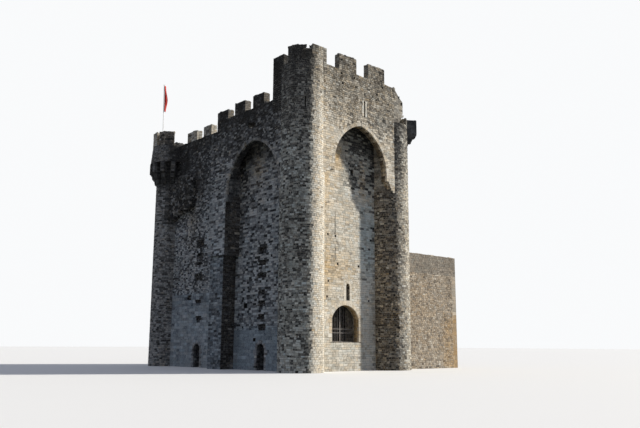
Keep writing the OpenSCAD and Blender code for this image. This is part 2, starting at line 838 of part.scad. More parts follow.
// Box with an open foot that hangs on the front right tower
module box_front_right() {
    out = front_tower_r + box_d;
    color(stone_dark) in_plan() translate([axis_w, 0, box_z]) rotate([0, 0, box_turn])
        linear_extrude(box_h) difference() {
            translate([0, -box_w / 2]) square([out, box_w]);
            translate([0, box_t - box_w / 2]) square([out - box_t, box_w - 2 * box_t]);
            circle(front_tower_r + seat_gap);
        }
}

module box_corbels() {
    out = front_tower_r + box_d;
    color(stone_dark) in_plan() translate([axis_w, 0, 0]) rotate([0, 0, box_turn])
        for (side = [-box_w / 2, box_w / 2 - box_t]) difference() {
            along_y(side, side + box_t)
                polygon([[0, box_z - box_corbel_h], [front_tower_r + box_d * 0.3, box_z - 0.9 * box_corbel_h],
                         [front_tower_r + box_d * 0.45, box_z - box_corbel_h / 2],
                         [front_tower_r + box_d * 0.8, box_z - 0.42 * box_corbel_h],
                         [out, box_z - 0.13 * box_corbel_h], [out, box_z], [0, box_z]]);
            translate([0, 0, box_z - box_corbel_h - 100])
                cylinder(r = front_tower_r + seat_gap, h = box_corbel_h + 200);
        }
}

module hall_floor() {
    color(stone_cool) in_plan() block([wall_t, wall_t, 0], [axis_w - wall_t, keep_l - wall_t, sill_z]);
}

// Barrel vault over the hall, with its haunches filled up to the terrace
module hall_vault() {
    color(stone_cool) in_plan() along_y(wall_t, keep_l - wall_t) difference() {
        rect([wall_t, vault_spring_z], [axis_w - wall_t, vault_top_z]);
        pointed_opening(axis_w / 2, inner_w / 2 - vault_edge, vault_rise, vault_spring_z + vault_upright,
                        vault_spring_z);
    }
}

module terrace() {
    color(stone_cool) in_plan()
        block([wall_t, wall_t, vault_top_z], [axis_w - wall_t, keep_l - wall_t, walk_z]);
}

// Stands a piece on the rear left tower, leaning a little to the rear left
module leaning() {
    translate([pole_x, keep_l, walk_z]) rotate(a = pole_lean, v = [-0.668, -0.745, 0]) children();
}

module flagpole() {
    color(pole_grey) in_plan() {
        leaning() {
            translate([0, 0, 2]) cylinder(d = pole_d, h = pole_h - 2);
            translate([0, 0, pole_h]) sphere(d = 1.6 * pole_d);
        }
        translate([pole_x, keep_l, walk_z]) cylinder(d = 2.4 * pole_d, h = 60);
    }
}

// The flag hangs limp beside the top of its pole
module flag() {
    color(flag_red) in_plan() leaning() translate([0, 0, pole_h - flag_down - flag_drop])
        rotate([0, 0, flag_turn]) linear_extrude(flag_drop)
            translate([pole_d / 2 + seat_gap, -flag_t / 2]) square([flag_w, flag_t]);
}

// Wall that joins the front right tower
module side_wall() {
    start = axis_w + front_tower_r + toothing;
    color(stone_new) in_plan()
        block([start, side_wall_y, 0], [start + side_wall_l, side_wall_y + side_wall_t, side_wall_z]);
}

// Outline of one leaf, drawn as the left one
module leaf_outline(inset) {
    intersection() {
        gate_outline_leaf(inset);
        rect([gate_mid - leaf_edge + inset, sill_z + leaf_gap + inset],
             [gate_mid - leaf_gap / 2 - inset, gate_top_z + leaf_lap]);
    }
}

module gate_outline_leaf(inset) {
    translate([gate_mid, gate_centre_z]) circle(leaf_r - inset);
    rect([gate_mid - leaf_edge, sill_z], [gate_mid, gate_centre_z]);
}

module left_leaf() {
    span = leaf_edge - leaf_gap / 2 - 2 * leaf_bar_w;
    pitch = (span - leaf_rods * leaf_rod_t) / (leaf_rods + 1) + leaf_rod_t;
    first = gate_mid - leaf_edge + leaf_bar_w + pitch - leaf_rod_t;
    difference() {
        union() {
            along_y(leaf_y, leaf_y + leaf_t) {
                difference() {
                    leaf_outline(0);
                    leaf_outline(leaf_bar_w);
                }
                for (z = rail_heights)
                    rect([gate_mid - leaf_edge + 5, z - leaf_bar_w / 2],
                         [gate_mid - leaf_gap / 2 - 5, z + leaf_bar_w / 2]);
            }
            along_y(leaf_y + (leaf_t - leaf_rod_t) / 2, leaf_y + (leaf_t + leaf_rod_t) / 2) intersection() {
                leaf_outline(5);
                for (i = [0 : leaf_rods - 1])
                    rect([first + i * pitch, sill_z], [first + i * pitch + leaf_rod_t, gate_top_z + leaf_lap]);
            }
            for (z = hinge_heights) {
                translate([gate_mid - hinge_x, hinge_y, z]) cylinder(r = eye_r, h = eye_h);
                block([gate_mid - hinge_x, leaf_y + leaf_t - 10, z],
                      [gate_mid - leaf_edge + leaf_bar_w, hinge_y + eye_r, z + eye_h]);
            }
        }
        for (z = hinge_heights)
            translate([gate_mid - hinge_x, hinge_y, z - 10]) cylinder(r = pin_r + pin_clear, h = eye_h + 20);
    }
}

// Mirrors a piece of the left leaf onto the right leaf
module other_leaf() {
    translate([2 * gate_mid, 0, 0]) mirror([1, 0, 0]) children();
}

module gate_leaf_left() {
    color(iron) in_plan() left_leaf();
}

module gate_leaf_right() {
    color(iron) in_plan() other_leaf() left_leaf();
}

// Brackets driven into the sides of the passage, with the pins that carry a leaf
module left_pintles() {
    for (z = hinge_heights) {
        block([gate_mid - passage_w / 2, hinge_y - 22, z - 45],
              [gate_mid - hinge_x + 22, hinge_y + 22, z - seat_gap]);
        translate([gate_mid - hinge_x, hinge_y, z - 20]) cylinder(r = pin_r, h = eye_h + 45);
    }
}

module gate_pintles() {
    color(iron) in_plan() {
        left_pintles();
        other_leaf() left_pintles();
    }
}

tower_front_left();
tower_front_right();
tower_rear_left();
tower_rear_right();
pier_left();
pier_right();
gate_arch();
gate_threshold();
front_wall_left();
front_wall_right();
front_wall_over_gate();
left_wall_front_bay();
left_wall_rear_bay();
right_wall_front_bay();
right_wall_rear_bay();
rear_wall();
front_arch();
front_wall_over_arch();
left_arch();
right_arch();
rear_arch();
front_parapet();
broken_front_end();
turret_parapet_front_left();
tower_crown_front_right();
left_parapet();
left_rear_parapet();
right_parapet();
right_rear_parapet();
rear_parapet();
turret_head_rear_left();
turret_head_rear_right();
turret_corbels_rear_left();
turret_corbels_rear_right();
box_front_right();
box_corbels();
hall_floor();
hall_vault();
terrace();
flagpole();
flag();
side_wall();
gate_leaf_left();
gate_leaf_right();
gate_pintles();
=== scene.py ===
# Castle keep: stone facing, voussoirs, copings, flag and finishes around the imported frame.
# Metres, +Z up, +X to the right along the gate front, +Y to the rear, as the frame has them.
import json
import math
from itertools import pairwise

import bpy
import numpy as np
from mathutils import Matrix, Vector


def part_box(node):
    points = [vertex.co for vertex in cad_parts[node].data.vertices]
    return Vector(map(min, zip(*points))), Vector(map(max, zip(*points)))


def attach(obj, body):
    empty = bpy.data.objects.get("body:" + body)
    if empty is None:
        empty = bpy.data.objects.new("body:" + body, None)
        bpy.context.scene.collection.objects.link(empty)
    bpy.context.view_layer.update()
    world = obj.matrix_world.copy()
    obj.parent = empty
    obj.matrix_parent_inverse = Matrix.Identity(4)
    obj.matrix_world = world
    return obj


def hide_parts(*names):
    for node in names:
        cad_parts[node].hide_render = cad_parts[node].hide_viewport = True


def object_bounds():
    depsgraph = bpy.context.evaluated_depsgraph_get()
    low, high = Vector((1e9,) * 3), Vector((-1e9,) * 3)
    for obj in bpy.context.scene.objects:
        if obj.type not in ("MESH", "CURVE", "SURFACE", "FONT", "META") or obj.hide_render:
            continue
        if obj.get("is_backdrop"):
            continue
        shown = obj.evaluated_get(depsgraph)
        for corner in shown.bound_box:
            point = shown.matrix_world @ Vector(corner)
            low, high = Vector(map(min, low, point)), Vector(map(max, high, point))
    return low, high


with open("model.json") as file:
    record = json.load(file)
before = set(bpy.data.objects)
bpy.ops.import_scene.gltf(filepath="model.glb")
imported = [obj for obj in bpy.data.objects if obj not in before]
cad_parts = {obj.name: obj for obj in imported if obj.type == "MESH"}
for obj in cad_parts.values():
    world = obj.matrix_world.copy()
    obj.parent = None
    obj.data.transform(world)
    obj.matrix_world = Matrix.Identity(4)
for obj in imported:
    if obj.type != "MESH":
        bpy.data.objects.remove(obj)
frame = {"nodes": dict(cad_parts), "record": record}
cad_low, cad_high = (list(corner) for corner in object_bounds())

# Levels and planes of the keep, from the frame
FRONT_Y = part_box("front_wall_left")[0][1]
REAR_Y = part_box("rear_wall")[1][1]
SIDE_X = -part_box("left_wall_front_bay")[0][0]
ARCH_FRONT_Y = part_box("front_arch")[0][1]
ARCH_REAR_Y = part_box("rear_arch")[1][1]
ARCH_SIDE_X = -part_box("left_arch")[0][0]
ARCH_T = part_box("front_arch")[1][1] - ARCH_FRONT_Y
REAR_ARCH_T = ARCH_REAR_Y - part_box("rear_arch")[0][1]
FRONT_PARAPET_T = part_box("front_parapet")[1][1] - ARCH_FRONT_Y
PARAPET_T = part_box("left_parapet")[1][0] + ARCH_SIDE_X
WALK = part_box("terrace")[1][2]
HIGH_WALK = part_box("tower_front_left")[1][2]
FRONT_R = -SIDE_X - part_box("tower_front_left")[0][0]
REAR_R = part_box("tower_rear_right")[1][0] - SIDE_X
HEAD_R = -SIDE_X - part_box("turret_head_rear_left")[0][0]
HEAD_TOP_R = HEAD_R - 0.15
HEAD_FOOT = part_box("turret_head_rear_left")[0][2]
HEAD_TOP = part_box("turret_head_rear_left")[1][2]
CORBEL_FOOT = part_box("turret_corbels_rear_left")[0][2]
PIER_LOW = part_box("pier_left")[0]
PIER_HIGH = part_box("pier_left")[1]
PIER_HEAD = 9.2
PIER_LOW_Y = -1.45
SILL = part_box("gate_threshold")[1][2]
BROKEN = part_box("tower_front_right")[1][2]
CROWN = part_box("tower_crown_front_right")[1][2]
SOLE = WALK + 1.0
SIDE_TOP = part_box("left_parapet")[1][2]
BAY_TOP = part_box("left_rear_parapet")[1][2]
HIGH_SOLE = HIGH_WALK + 1.0
HIGH_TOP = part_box("front_parapet")[1][2]

# The great arches: middle, half span, rise and springing height
FRONT_ARCH = (0.10, 2.95, 3.6, 15.7)
SIDE_ARCH = (-5.5, 3.4, 3.9, 14.2)
REAR_ARCH = (0.0, 3.05, 3.9, 14.2)
FRONT_FOOT = 15.2
SIDE_FOOT = 13.6

# Levels above which walls are laid more roughly
RECESS_ROUGH = 14.0
FRONT_ROUGH = 18.6
DRUM_ROUGH = 16.0
PIER_ROUGH = 14.5
ARCH_ROUGH = 17.0

# Ends of the rear bay's parapet and of the high return, and where the side wall meets its drum, in degrees
BAY_END = 8.7
RETURN_START = -9.3
SIDE_WALL_ARC = (118, 174)
SIDE_WALL_TOP = 9.9

# Half width of the floor, and how far the camera sees
FLOOR_HALF = 400
FAR = 2000

# The gate and the slit over it
GATE_X = -0.24
GATE_HALF = 1.45
GATE_TOP = 5.03
GATE_RISE = 1.05
GATE_R = (GATE_HALF ** 2 + GATE_RISE ** 2) / (2 * GATE_RISE)
GATE_RING = 0.34
GATE_STONES = 19
GATE_DEPTH = 0.55
SLIT_X = 0.02
SLIT_HALF = 0.19
SLIT_FOOT = 5.40
SLIT_TOP = 6.74
SLIT_FRAME = 0.26


# Where stones lie: a surface gives the point at u along it, v up it and d out of it
class Surface:
    def __init__(self, point, outward):
        self.point = point
        self.outward = outward


def flat(origin, along, up, out):
    o, a, b, n = (np.array(vector, float) for vector in (origin, along, up, out))

    def point(u, v, d):
        return o + u[..., None] * a + v[..., None] * b + d[..., None] * n

    return Surface(point, np.dot(np.cross(a, b), n) > 0)


# A round wall: side is -1 where it is seen from inside, and its radius may shrink by fall from foot to top
def drum(x, y, radius, side=1, fall=0, foot=0, top=1):
    def point(u, v, d):
        angle = u / radius
        out = radius - fall * np.clip((v - foot) / (top - foot), 0, 1) + side * d
        return np.stack([x + out * np.cos(angle), y + out * np.sin(angle), v + 0 * d], -1)

    return Surface(point, side > 0)


def mirrored(surface):
    def point(u, v, d):
        return surface.point(u, v, d) * np.array([-1.0, 1.0, 1.0])

    return Surface(point, not surface.outward)


def standing(origin, along, out):
    return flat(origin, along, (0, 0, 1), out)


def facing_front(y):
    return standing((0, y, 0), (1, 0, 0), (0, -1, 0))


def facing_rear(y):
    return standing((0, y, 0), (1, 0, 0), (0, 1, 0))


def facing_left(x):
    return standing((x, 0, 0), (0, 1, 0), (-1, 0, 0))


def facing_up(z):
    return flat((0, 0, z), (1, 0, 0), (0, 1, 0), (0, 0, 1))


# Stone tone by place, for stains and weather and also for painted light and shade: each change is a weight
# over the surface, a step in tone, one in warmth and one in how far the stones differ
def look(tone, warm=0.0, *changes):
    def at(u, v):
        tones = np.full(np.shape(u), float(tone))
        warms = np.full(np.shape(u), float(warm))
        spreads = np.zeros(np.shape(u))
        for weight, tone_step, warm_step, *more in changes:
            share = weight(u, v)
            tones += share * tone_step
            warms += share * warm_step
            spreads += share * sum(more)
        return tones, warms, spreads

    return at


def soft(x):
    x = np.clip(x, 0, 1)
    return x * x * (3 - 2 * x)


def along(start, end):
    return lambda u, v: soft((u - start) / (end - start))


def upward(start, end):
    return lambda u, v: soft((v - start) / (end - start))


def patch(u0, v0, half_u, half_v):
    return lambda u, v: np.exp(-((u - u0) / half_u) ** 2 - ((v - v0) / half_v) ** 2)


def both(first, second):
    return lambda u, v: first(u, v) * second(u, v)


# How far the stones differ over the whole height
def uneven(more):
    return upward(0, 1), 0.0, 0.0, more


def linked(name, data):
    made = bpy.data.objects.new(name, data)
    bpy.context.scene.collection.objects.link(made)
    return made


# One mesh of many closed six-sided stones
class Masonry:
    corners = np.array([[0, 3, 2, 1], [4, 5, 6, 7], [0, 1, 5, 4], [1, 2, 6, 5], [2, 3, 7, 6], [3, 0, 4, 7]])

    def __init__(self, name, seed):
        self.name = name
        self.rng = np.random.default_rng(seed)
        self.points = []
        self.faces = []
        self.tones = []
        self.warms = []
        self.count = 0

    # base and top are (n, 4, 2) places on the surface; depths, tones and warmths may be one number
    def blocks(self, surface, base, top, base_d, top_d, tone, warm):
        every = np.zeros((len(base), 4))
        lower = surface.point(base[..., 0], base[..., 1], base_d + every)
        upper = surface.point(top[..., 0], top[..., 1], top_d + every)
        self.hexes(np.concatenate([lower, upper], 1), surface.outward, tone + every[:, 0], warm + every[:, 0])

    def hexes(self, points, outward, tone, warm):
        n = len(points)
        order = self.corners if outward else self.corners[:, ::-1]
        first = self.count + 8 * np.arange(n)
        self.faces.append((first[:, None, None] + order[None]).reshape(-1, 4))
        self.points.append(points.reshape(-1, 3))
        self.tones.append(np.repeat(tone, 8))
        self.warms.append(np.repeat(warm, 8))
        self.count += 8 * n

    def build(self, slot):
        points = np.clip(np.concatenate(self.points), cad_low, cad_high)
        faces = np.concatenate(self.faces)
        mesh = bpy.data.meshes.new(self.name)
        mesh.vertices.add(len(points))
        mesh.vertices.foreach_set("co", points.astype(np.float32).ravel())
        mesh.loops.add(faces.size)
        mesh.loops.foreach_set("vertex_index", faces.astype(np.int32).ravel())
        mesh.polygons.add(len(faces))
        mesh.polygons.foreach_set("loop_start", np.arange(0, faces.size, 4, dtype=np.int32))
        mesh.polygons.foreach_set("use_smooth", np.zeros(len(faces), bool))
        for name, values in (("tone", self.tones), ("warmth", self.warms)):
            attribute = mesh.attributes.new(name, "FLOAT", "POINT")
            attribute.data.foreach_set("value", np.concatenate(values).astype(np.float32))
        mesh.update(calc_edges=True)
        mesh.validate()
        piece = linked(self.name, mesh)
        mesh.materials.append(LAID[slot])
        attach(piece, "keep")
        return piece


# How a wall is laid: course heights, stone lengths, joint, bevel, how far the stones stand out and differ in
# that, waviness, and the share of stones that has weathered back
ASHLAR = dict(course=(0.15, 0.21), length=(0.20, 0.52), joint=0.010, bevel=0.007, proud=0.012, relief=0.0035,
              wave=0.004, worn=0.05)
RUBBLE = dict(course=(0.12, 0.20), length=(0.14, 0.38), joint=0.015, bevel=0.014, proud=0.019, relief=0.009,
              wave=0.030, worn=0.08)
SMOOTH = dict(course=(0.22, 0.30), length=(0.34, 0.75), joint=0.007, bevel=0.004, proud=0.013, relief=0.002,
              wave=0.0, worn=0.01)
ROUND = dict(course=(0.12, 0.18), length=(0.14, 0.34), joint=0.014, bevel=0.008, proud=0.016, relief=0.0055,
             wave=0.008, worn=0.07)
COPING = dict(course=(0.22, 0.34), length=(0.25, 0.5), joint=0.03, bevel=0.05, proud=0.03, relief=0.03,
              wave=0.0, worn=0.1)
PAVING = dict(course=(0.35, 0.5), length=(0.4, 0.8), joint=0.014, bevel=0.008, proud=0.012, relief=0.003,
              wave=0.0, worn=0.0)
# Least width of a cut stone, share of bright flecks, depth of stones behind the wall's face, and the grid on
# which keep-outs are tested
SLIVER = 0.035
FLECKS = 0.12
SUNK = 0.01
GRID = 0.02


def course_levels(rng, low, high, course):
    count = max(1, round((high - low) / (sum(course) / 2)))
    heights = rng.uniform(course[0], course[1], count)
    return low + np.concatenate([[0], np.cumsum(heights)]) * (high - low) / heights.sum()


def runs(allowed):
    edges = np.flatnonzero(np.diff(np.concatenate([[0], allowed.astype(int), [0]])))
    return edges.reshape(-1, 2)


def cuts(rng, start, end, length):
    count = max(1, round((end - start) / (sum(length) / 2)))
    parts = rng.uniform(length[0], length[1], count)
    return start + np.concatenate([[0], np.cumsum(parts)]) * (end - start) / parts.sum()


# Cuts rectangular holes out of the stones' rectangles
def carved(rects, holes):
    for u0, u1, v0, v1 in holes:
        kept = []
        for left, right, low, high in rects:
            if right <= u0 or left >= u1 or high <= v0 or low >= v1:
                kept.append((left, right, low, high))
                continue
            over, under = max(left, u0), min(right, u1)
            parts = ((left, u0, low, high), (u1, right, low, high),
                     (over, under, low, v0), (over, under, v1, high))
            kept.extend(part for part in parts if min(part[1] - part[0], part[3] - part[2]) > SLIVER)
        rects = kept
    return rects


# Lays courses of stones on a surface, wherever keep(u, v) allows them and no hole is
def lay(work, surface, u_range, v_range, way, keep=None, shade=look(0.5), spread=0.28, holes=()):
    rng = work.rng
    levels = course_levels(rng, v_range[0], v_range[1], way["course"])
    line = np.arange(u_range[0], u_range[1] + GRID / 2, GRID)
    rects = []
    for low, high in pairwise(levels):
        if keep is None:
            spans = [(u_range[0], u_range[1])]
        else:
            allowed = keep(line, np.full(len(line), (low + high) / 2))
            spans = [(line[a], line[b - 1]) for a, b in runs(allowed) if b - a > 3]
        for start, end in spans:
            marks = cuts(rng, start, end, way["length"])
            rects.extend((a, b, low, high) for a, b in pairwise(marks))
    lowered = []
    for u0, u1, v0, v1 in holes:
        shift = wavy((u0 + u1) / 2, (v0 + v1) / 2, way["wave"])
        lowered.append((u0, u1, v0 - shift, v1 - shift))
    rects = carved(rects, lowered)
    if rects:
        place_stones(work, surface, np.array(rects), way, shade, spread)


def wavy(u, v, wave):
    slow = np.sin(2.1 * u + 0.9 * v) + np.sin(3.7 * u - 1.3 * v + 1.0)
    return wave * (slow + 0.6 * np.sin(7.3 * u + 2.9 * v))


def place_stones(work, surface, rects, way, shade, spread):
    rng = work.rng
    n = len(rects)
    gap = way["joint"] / 2
    left, right, low, high = rects.T
    base = np.stack([np.stack([left + gap, low + gap], -1), np.stack([right - gap, low + gap], -1),
                     np.stack([right - gap, high - gap], -1), np.stack([left + gap, high - gap], -1)], 1)
    inward = np.array([[1, 1], [-1, 1], [-1, -1], [1, -1]])
    top = base + inward * way["bevel"] * rng.uniform(0.15, 1.5, (n, 4, 2))
    if way["wave"]:
        base[..., 1] += wavy(base[..., 0], base[..., 1], way["wave"])
        top[..., 1] += wavy(top[..., 0], top[..., 1], way["wave"])
    out = way["proud"] + way["relief"] * (rng.uniform(-0.9, 0.9, (n, 1)) + rng.uniform(-0.35, 0.35, (n, 4)))
    worn = rng.random(n) < way["worn"]
    out[worn] = rng.uniform(0.002, 0.008, (worn.sum(), 1))
    tones, warms, more = shade((left + right) / 2, (low + high) / 2)
    tones = tones + np.clip(spread + more, 0.03, 1) * rng.normal(0, 0.42, n)
    fleck = rng.random(n) < FLECKS + 0.3 * more
    tones[fleck] += rng.uniform(0.10, 0.38, fleck.sum()) * (1 + 1.2 * np.clip(more, 0, 1)[fleck])
    tones[worn] -= 0.18
    warms = warms + rng.normal(0, 0.16, n)
    work.blocks(surface, base, top, -SUNK, out, np.clip(tones, 0, 1), np.clip(warms, -1, 1))


def outlines(rects):
    return np.array([[[a, c], [b, c], [b, d], [a, d]] for a, b, c, d in rects])


# Black plates between two depths, used as painted shade in holes and cracks
def plates(work, surface, places, base_d, top_d):
    quads = outlines(places)
    work.blocks(surface, quads, quads.copy(), base_d, top_d, 0.0, 0.0)


# Painted shade in square holes: a black lining of four thin sides and a back
def line_holes_with_painted_shade(work, surface, holes, depth=0.3):
    thick = 0.012
    sides = []
    for u0, u1, v0, v1 in holes:
        sides.extend(((u0, u0 + thick, v0, v1), (u1 - thick, u1, v0, v1),
                      (u0, u1, v0, v0 + thick), (u0, u1, v1 - thick, v1)))
    plates(work, surface, sides, -depth, -0.002)
    plates(work, surface, holes, -depth, 0.02 - depth)


# Painted shade of a crack: thin black strips that follow it from one point to the next
def crack(work, surface, points, width):
    strips = []
    for (u0, v0), (u1, v1) in pairwise(points):
        steps = max(1, round(abs(v1 - v0) / 0.12))
        for i in range(steps):
            low, high = v0 + (v1 - v0) * i / steps, v0 + (v1 - v0) * (i + 1) / steps
            u = u0 + (u1 - u0) * (i + 0.5) / steps + work.rng.normal(0, 0.012)
            strips.append((u - width / 2, u + width / 2, min(low, high), max(low, high)))
    painted_shade_marks(work, surface, strips)
    return strips


# Painted shade: thin black plates on the bare wall, where stones are left out
def painted_shade_marks(work, surface, places):
    plates(work, surface, places, -SUNK, 0.0015)


# How much darker a reveal is painted deep in the wall, as painted shade, how far ring stones stand out of the
# wall and into the opening, and how jambs are laid
DEEP_SHADE = 0.6
RING_PROUD = 0.014
RING_INSET = 0.012
RING_STONE = 0.19
JAMB_COURSE = (0.16, 0.24)
JAMB_LENGTH = (0.22, 0.45)
JAMB_JOINT = 0.005
BLOCK_COURSE = (0.24, 0.34)
BLOCK_PROUD = 0.015


# Wedge stones given as outlines on a surface, in three lengths through the wall's depth: the outer ones have
# the face's colour, the others the reveal's darker tone, painted shade, and darker still deep in the wall
def wedges(work, surface, quads, depth, proud, tone, spread, warm, reveal_shade):
    rng = work.rng
    n = len(quads)
    middle = quads.mean(1, keepdims=True)
    split = depth * rng.uniform(0.05, 0.35, (n, 1)) + np.zeros((1, 4))
    face = proud + rng.uniform(-0.004, 0.006, (n, 1)) + rng.uniform(-0.002, 0.002, (n, 4))
    shrunk = middle + (quads - middle) * rng.uniform(0.94, 0.985, (n, 1, 1))
    inner = middle + (quads - middle) * rng.uniform(0.96, 1.0, (n, 1, 1))
    inner_tone, inner_warm = reveal_shade
    both_tones = np.stack([tone + np.zeros(n), inner_tone + np.zeros(n)])
    tones = np.clip(both_tones + spread * rng.normal(0, 0.8, (2, n)), 0, 1)
    warms = np.clip(np.array([[warm], [inner_warm]]) + rng.normal(0, 0.15, (2, n)), -1, 1)
    deep = np.minimum(-0.6 * depth - 0.1 * depth * rng.random((n, 1)) + np.zeros((1, 4)), -split - 0.02)
    work.blocks(surface, quads, shrunk, 0.004 - split, face, tones[0], warms[0])
    work.blocks(surface, inner, inner.copy(), deep + 0.004, -split - 0.004, tones[1], warms[1])
    work.blocks(surface, inner, inner.copy(), -depth, deep, tones[1] * DEEP_SHADE, warms[1])


# Half width test of a pointed arch's opening, grown by a margin
def in_pointed(arch, margin, foot):
    mid, half, rise, spring = arch
    r = (half * half + rise * rise) / (2 * half)

    def test(u, v):
        left = np.hypot(u - (mid - half + r), v - spring) < r + margin
        right = np.hypot(u - (mid + half - r), v - spring) < r + margin
        below = (v < spring) & (v > foot) & (abs(u - mid) < half + margin)
        return below | ((v >= spring) & left & right)

    return test


def in_outline(points):
    def test(u, v):
        inside = np.zeros(np.shape(u), bool)
        for (x0, y0), (x1, y1) in zip(points, points[1:] + points[:1]):
            crosses = (y0 > v) != (y1 > v)
            at = x0 + (v - y0) * (x1 - x0) / (y1 - y0 if y1 != y0 else 1)
            inside ^= crosses & (u < at)
        return inside

    return test


def all_of(*tests):
    return lambda u, v: np.logical_and.reduce([test(u, v) for test in tests])


def none_of(*tests):
    return lambda u, v: ~np.logical_or.reduce([test(u, v) for test in tests])


# Outlines of the stones in a ring, from the radii and angles of their ends
def ring_quads(centre, spring, inner, outer, start, end, side=1):
    corners = ((inner, start), (outer, start), (outer, end), (inner, end))
    return np.stack([np.stack([centre + side * radius * np.cos(angle), spring + radius * np.sin(angle)], -1)
                     for radius, angle in corners], 1)


# Ring of wedge stones around a pointed arch, through the arch's whole thickness; its reveal's painted shade
# runs from one tone at the springing to another at the crown
def arch_ring(work, surface, arch, ring, depth, tone, warm, reveal_shade):
    mid, half, rise, spring = arch
    rng = work.rng
    r = (half * half + rise * rise) / (2 * half)
    apex = math.acos((r - half) / r)
    count = round(apex * r / RING_STONE)
    for side in (-1, 1):
        marks = np.linspace(0, apex, count + 1)
        marks[1:-1] += rng.normal(0, 0.004, count - 1)
        start = marks[:-1] + 0.0011
        end = marks[1:] - 0.0011
        inner = np.full(count, r - RING_INSET) + rng.uniform(-0.006, 0.004, count)
        outer = r + ring * rng.uniform(0.8, 1.15, count)
        quad = ring_quads(mid + side * (half - r), spring, inner, outer, start, end, side)
        if side < 0:
            quad = quad[:, ::-1]
        low, high, reveal_warm = reveal_shade
        shades = np.linspace(low, high, count), reveal_warm
        wedges(work, surface, quad, depth, RING_PROUD, tone, 0.2, warm, shades)


# Jamb stones of an arch below its springing, on both sides and through the arch's thickness
def jamb_stones(work, surface, arch, foot, depth, tone, warm, reveal_shade):
    mid, half, _, spring = arch
    rng = work.rng
    for side in (-1, 1):
        edge = mid + side * half
        rects = []
        for low, high in pairwise(course_levels(rng, foot, spring, JAMB_COURSE)):
            inner = edge - side * RING_INSET
            outer = edge + side * rng.uniform(*JAMB_LENGTH)
            rects.append((*sorted((inner, outer)), low + JAMB_JOINT, high - JAMB_JOINT))
        wedges(work, surface, outlines(rects), depth, RING_PROUD, tone, 0.2, warm, reveal_shade)


# Facing of a parapet's inner face, tops and flanks, from the outer face's foot along it and inward
# The near flanks take their own look; on the sides it is painted pale, as painted light where they face the
# sun
def dress_parapet(work, origin, way_along, way_in, depth, span, foot, sole, merlons, shade, flank=look(0.5)):
    origin = np.array(origin, float)
    ahead = np.array(way_along, float)
    inward = np.array(way_in, float)
    up = np.array([0.0, 0.0, 1.0])
    face = flat(origin + depth * inward, ahead, up, inward)
    lay(work, face, span, (foot, sole), RUBBLE, None, shade)
    open_from = span[0]
    for start, end, top in list(merlons) + [(span[1], span[1], sole)]:
        if start - open_from > 0.1:
            crenel = flat(origin + sole * up, ahead, inward, up)
            lay(work, crenel, (open_from, start), (0, depth), COPING, None, shade)
        if end > start:
            lay(work, face, (start, end), (sole, top), RUBBLE, None, shade)
            cap = flat(origin + top * up, ahead, inward, up)
            lay(work, cap, (start, end), (0, depth), COPING, None, shade)
            if start - open_from > 0.1:
                near = standing(origin + start * ahead, inward, -ahead)
                lay(work, near, (0, depth), (sole, top), RUBBLE, None, flank)
            if span[1] - end > 0.1:
                far = standing(origin + end * ahead, inward, ahead)
                lay(work, far, (0, depth), (sole, top), RUBBLE, None, shade)
            ragged_top(work, origin + top * up, ahead, inward, start, end, depth)
        open_from = end


# The outer faces of merlons, given by their two ends and their top
def lay_merlons(work, surface, merlons, foot, way, shade, spread, holes=()):
    for start, end, top in merlons:
        lay(work, surface, (start, end), (foot, top), way, None, shade, spread, holes)


# Rough stones that break the straight edge of a merlon's top
def ragged_top(work, origin, ahead, inward, start, end, depth):
    rng = work.rng
    origin, ahead, inward = (np.array(vector, float) for vector in (origin, ahead, inward))
    count = max(2, round((end - start) / 0.26))
    for across in (0.09, depth - 0.09):
        places = np.linspace(start + 0.1, end - 0.1, count) + rng.normal(0, 0.03, count)
        centres = origin + places[:, None] * ahead + across * inward
        centres[:, 2] -= rng.uniform(0.03, 0.075, count)
        rough_stones(work, centres, (0.07, 0.13), 0.35, 0.3)


# Turned rough stones at given places, for broken edges and cores
def rough_stones(work, centres, size, tone=0.45, spread=0.25, warm=0.0, flatness=0.75):
    rng = work.rng
    n = len(centres)
    half = rng.uniform(size[0], size[1], (n, 1)) * np.array([1.0, 0.85, flatness])
    square = ((-1, -1), (1, -1), (1, 1), (-1, 1))
    cube = np.array([[x, y, z] for z in (-1, 1) for x, y in square])
    points = cube[None] * half[:, None] * rng.uniform(0.72, 1.0, (n, 8, 1))
    turn = rng.uniform(0, math.pi, n)
    tilt = rng.normal(0, 0.22, (n, 2))
    cos, sin = np.cos(turn), np.sin(turn)
    x = points[..., 0] * cos[:, None] - points[..., 1] * sin[:, None]
    y = points[..., 0] * sin[:, None] + points[..., 1] * cos[:, None]
    z = points[..., 2] + x * tilt[:, :1] + y * tilt[:, 1:]
    tones = np.clip(tone + spread * rng.normal(0, 0.7, n), 0, 1)
    warms = np.clip(warm + rng.normal(0, 0.2, n), -1, 1)
    work.hexes(np.stack([x, y, z], -1) + np.asarray(centres)[:, None], True, tones, warms)


# Places of stones along a line of points, across a depth
def along_line(rng, points, across, step, jitter):
    places = []
    for start, end in pairwise(points):
        start, end = np.array(start, float), np.array(end, float)
        count = max(1, round(np.linalg.norm(end - start) / step))
        rows = max(1, round(np.linalg.norm(across) / step))
        for i in range(count):
            for j in range(rows):
                place = start + (end - start) * (i + 0.5) / count + np.array(across) * (j + 0.5) / rows
                places.append(place + rng.normal(0, jitter, 3))
    return np.array(places)


# Materials
def new_material(name):
    material = bpy.data.materials.new(name)
    material.use_nodes = True
    tree = material.node_tree
    return material, tree, tree.nodes["Principled BSDF"]


def place_in(tree):
    return tree.nodes.new("ShaderNodeNewGeometry").outputs["Position"]


def split(tree, vector):
    node = tree.nodes.new("ShaderNodeSeparateXYZ")
    tree.links.new(vector, node.inputs["Vector"])
    return node.outputs


